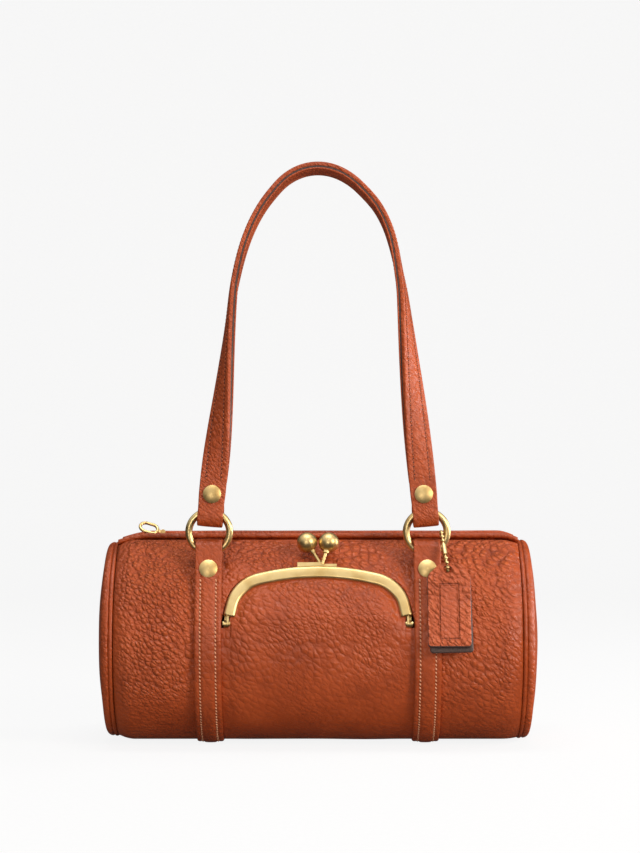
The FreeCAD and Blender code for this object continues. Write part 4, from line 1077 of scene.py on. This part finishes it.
tagLook = {"lean": math.radians(17), "hole": (74.7, -55.764, 104.7), "shift": 0.6, "half": 12.4, "top": 5.0,
           "clip": 7.2, "above": 3.8, "below": 45.5, "corner": 1.9, "leaf": 2.1, "backLeaf": 1.4, "gap": 0.1,
           "holeRadius": 2.4, "fieldDown": 24.5, "extra": 2.7, "turn": math.radians(1.4), "curl": 0.4,
           # share of the way to the rim, and sink
           "rings": ((0.03, 0), (0.25, 0), (0.5, 0), (0.75, 0), (0.93, 0), (0.985, -0.08))}
tagUp = np.array([0, math.sin(tagLook["lean"]), math.cos(tagLook["lean"])])
tagOut = np.array([0, -math.cos(tagLook["lean"]), math.sin(tagLook["lean"])])


def roundedOutline(corners, radius, step=0.8):
    points = []
    for k in range(len(corners)):
        before, here, after = (np.array(corners[(k + d) % len(corners)], float) for d in (-1, 0, 1))
        back, on = before - here, after - here
        back, on = back / np.linalg.norm(back), on / np.linalg.norm(on)
        for t in np.linspace(0, 1, 7):
            points.append(here + back * radius * (1 - t) ** 2 + on * radius * t ** 2)
    line = np.array(points + points[:1])
    run = np.concatenate([[0], np.cumsum(np.linalg.norm(np.diff(line, axis=0), axis=1))])
    places = np.linspace(0, run[-1], int(run[-1] / step), endpoint=False)
    return np.stack([np.interp(places, run, line[:, k]) for k in range(2)], -1)


def tagLeaf(name, low, thick, extra, turn, curl, edgeColourFrom):
    half, top, edge, foot = tagLook["half"], tagLook["top"], tagLook["above"], -tagLook["below"] - extra
    clip = edge - tagLook["clip"]
    corners = [(-top, edge), (-half, clip), (-half, foot), (half, foot), (half, clip), (top, edge)]
    outline = roundedOutline([(tagLook["shift"] + x, y) for x, y in corners], tagLook["corner"])
    hole = outline / np.linalg.norm(outline, axis=1)[:, None] * tagLook["holeRadius"]
    loops = [(hole, 0.25), (hole, thick - 0.25)]
    loops += [(hole + (outline - hole) * share, thick + sink) for share, sink in tagLook["rings"]]
    loops += [(outline, thick - 0.4), (outline, 0.4)]
    loops += [(hole + (outline - hole) * share, -sink) for share, sink in tagLook["rings"][::-1]]
    count = len(outline)
    verts = []
    for line, level in loops:
        for x, y in line:
            across, up = x * math.cos(turn) - y * math.sin(turn), x * math.sin(turn) + y * math.cos(turn)
            out = low + level + curl * ((y - edge) / (foot - edge)) ** 2
            verts.append((np.array(tagLook["hole"]) + np.array([across, 0, 0]) + tagUp * up + tagOut * out) * mm)
    faces = gridFaces(len(loops), count, closeRows=True, closeCols=True)
    obj = makeObject(name + "Leather", verts, faces, [tagHide, edgePaint])
    rows = np.repeat(np.arange(len(loops)), count)
    painted = (rows == 0) | ((rows >= edgeColourFrom) & (rows <= 9))  # the face takes the edge colour from this loop outwards
    obj.data.polygons.foreach_set("material_index", painted.astype(np.int32))
    flat = np.concatenate([line for line, level in loops])
    setGrain(obj, 1.0)
    setFloat(obj, "tagAcross", flat[:, 0] - tagLook["shift"])
    setFloat(obj, "tagDown", flat[:, 1] + tagLook["fieldDown"])
    faceOut(obj)
    settle(obj, "hang_tag", "pebbled_leather", name)


tagGap, backLeaf = tagLook["gap"] / 2, tagLook["backLeaf"]
tagLeaf("tag_front_leaf", tagGap, tagLook["leaf"], 0, 0, tagLook["curl"], 7)
# the back leaf takes the edge colour from halfway out, a dark strip showing below the front leaf
tagLeaf("tag_back_leaf", -tagGap - backLeaf, backLeaf, tagLook["extra"], tagLook["turn"], 0.0, 4)
print("lining and tag made")


# metal and board pieces keep their solid shape

finishes = {
    ringBrass: ("left_ring", "right_ring", "zip_pull", "tag_chain", "tag_connector"),
    capBrass: ("left_band_rivet", "right_band_rivet", "left_strap_rivet", "right_strap_rivet", "zip_slider",
               "zip_stops", "front_zip_teeth", "back_zip_teeth"),
    frameBrass: ("left_hinge_pin", "right_hinge_pin", "front_clasp_post", "back_clasp_post", "front_clasp_ball",
                 "back_clasp_ball"),
    boardStuff: ("base_board",),
}
for finish, names in finishes.items():
    for name in names:
        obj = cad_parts[name]
        obj.data.materials.clear()
        obj.data.materials.append(finish)


# stage, light and camera: sizes in metres

paper = {"dark": "#BEBEBE", "light": "#C6C6C6", "glow": "#F7F7F7", "fibre": 300.0, "roughness": 0.9,
         "strength": 1.195, "seen": 0.79, "mirrored": 0.05,
         "front": -3.0, "floor": (-2.0, 1.2), "bend": 0.8, "height": 3.0, "halfWidth": 4.0}


def paperSheet(name):
    # seamless white paper: reads white to the lens, dimmer in mirrors, and still takes the bag's shadow
    material, tree, shader, coords = startMaterial(name)
    fibre = addNode(tree, "ShaderNodeTexNoise", {"Vector": coords, "Scale": paper["fibre"]}).outputs["Fac"]
    setShader(tree, shader, {"Base Color": rampNode(tree, fibre, (0.3, paper["dark"]), (0.7, paper["light"])),
                             "Roughness": paper["roughness"], "Specular IOR Level": 0.0})
    white, dim = (addNode(tree, "ShaderNodeEmission", {"Color": hexColour(paper["glow"]), "Strength": paper[key]})
                  for key in ("strength", "mirrored"))
    rays = addNode(tree, "ShaderNodeLightPath").outputs
    seen = mathNode(tree, "MULTIPLY", rays["Is Camera Ray"], paper["seen"])
    mixed = addNode(tree, "ShaderNodeMixShader", {0: seen, 1: shader.outputs[0], 2: white.outputs[0]})
    mirrored = {0: rays["Is Glossy Ray"], 1: mixed.outputs[0], 2: dim.outputs[0]}
    mixed = addNode(tree, "ShaderNodeMixShader", mirrored)
    output = next(n for n in tree.nodes if n.type == "OUTPUT_MATERIAL")
    tree.links.new(mixed.outputs[0], output.inputs["Surface"])
    return material


def backdrop():
    near, far = paper["floor"]
    bend = paper["bend"]
    profile = [(paper["front"], 0.0)] + [(y, 0.0) for y in np.linspace(near, far, 9)]
    profile += [(far + bend * math.sin(t), bend - bend * math.cos(t)) for t in np.linspace(0.1, math.pi / 2, 14)]
    profile += [(far + bend, paper["height"])]
    verts = [(x, y, z) for x in (-paper["halfWidth"], paper["halfWidth"]) for y, z in profile]
    obj = makeObject("backdrop", verts, gridFaces(2, len(profile)), paperSheet("white paper"))


def areaLight(name, place, target, size, watts, colour):
    lamp = bpy.data.lights.new(name, "AREA")
    lamp.shape = "RECTANGLE"
    lamp.size, lamp.size_y = size
    lamp.energy = watts
    lamp.color = hexColour(colour)[:3]
    obj = bpy.data.objects.new(name, lamp)
    obj.location = place
    obj.rotation_euler = (Vector(target) - Vector(place)).to_track_quat("-Z", "Y").to_euler()
    bpy.context.scene.collection.objects.link(obj)


backdrop()
lamps = (  # name, place, target, size, watts, colour
    ("keyLight", (1.15, -1.0, 0.6), (0.0, 0.0, 0.08), (0.45, 0.6), 15.4, "#FFF3E6"),
    ("fillLight", (-0.26, -1.5, 0.34), (-0.03, 0.0, 0.05), (0.35, 0.5), 4.8, "#FFF9F4"),
    ("topLight", (0.0, -0.25, 1.5), (0.0, 0.0, 0.1), (0.8, 0.5), 8.6, "#FFFFFF"),
    ("rimLight", (1.1, 0.15, 0.25), (0.12, 0.0, 0.07), (0.25, 0.5), 8.0, "#FFFFFF"),
)
for lamp in lamps:
    areaLight(*lamp)

studio = {"colour": "#F4F4F4", "mirror": (0.2, 0.95, 0.06, 1.6), "level": 0.2, "seen": 0.98}
world = bpy.data.worlds.new("studio")
world.use_nodes = True
sky = world.node_tree
sky.nodes.clear()
rays = addNode(sky, "ShaderNodeLightPath").outputs
way = addNode(sky, "ShaderNodeTexCoord").outputs["Generated"]
rise = addNode(sky, "ShaderNodeSeparateXYZ", {0: way}).outputs[2]
bright = rangeNode(sky, rise, *studio["mirror"], kind="LINEAR")  # mirrors see a room that brightens upwards
level = addNode(sky, "ShaderNodeMix", {0: rays["Is Glossy Ray"], 2: studio["level"], 3: bright}).outputs[0]
level = addNode(sky, "ShaderNodeMix", {0: rays["Is Camera Ray"], 2: level, 3: studio["seen"]}).outputs[0]
glow = addNode(sky, "ShaderNodeBackground", {"Color": hexColour(studio["colour"]), "Strength": level})
addNode(sky, "ShaderNodeOutputWorld", {"Surface": glow.outputs[0]})
scene = bpy.context.scene
scene.world = world
scene.view_settings.view_transform = "Standard"
lens = bpy.data.cameras.new("camera")
lens.sensor_fit = "VERTICAL"
lens.sensor_height = 36.0
lens.lens = 98.5
camera = bpy.data.objects.new("camera", lens)
camera.location = (0.0012, -1.4, 0.1875)
camera.rotation_euler = (math.pi / 2, 0, 0)
scene.collection.objects.link(camera)
scene.camera = camera
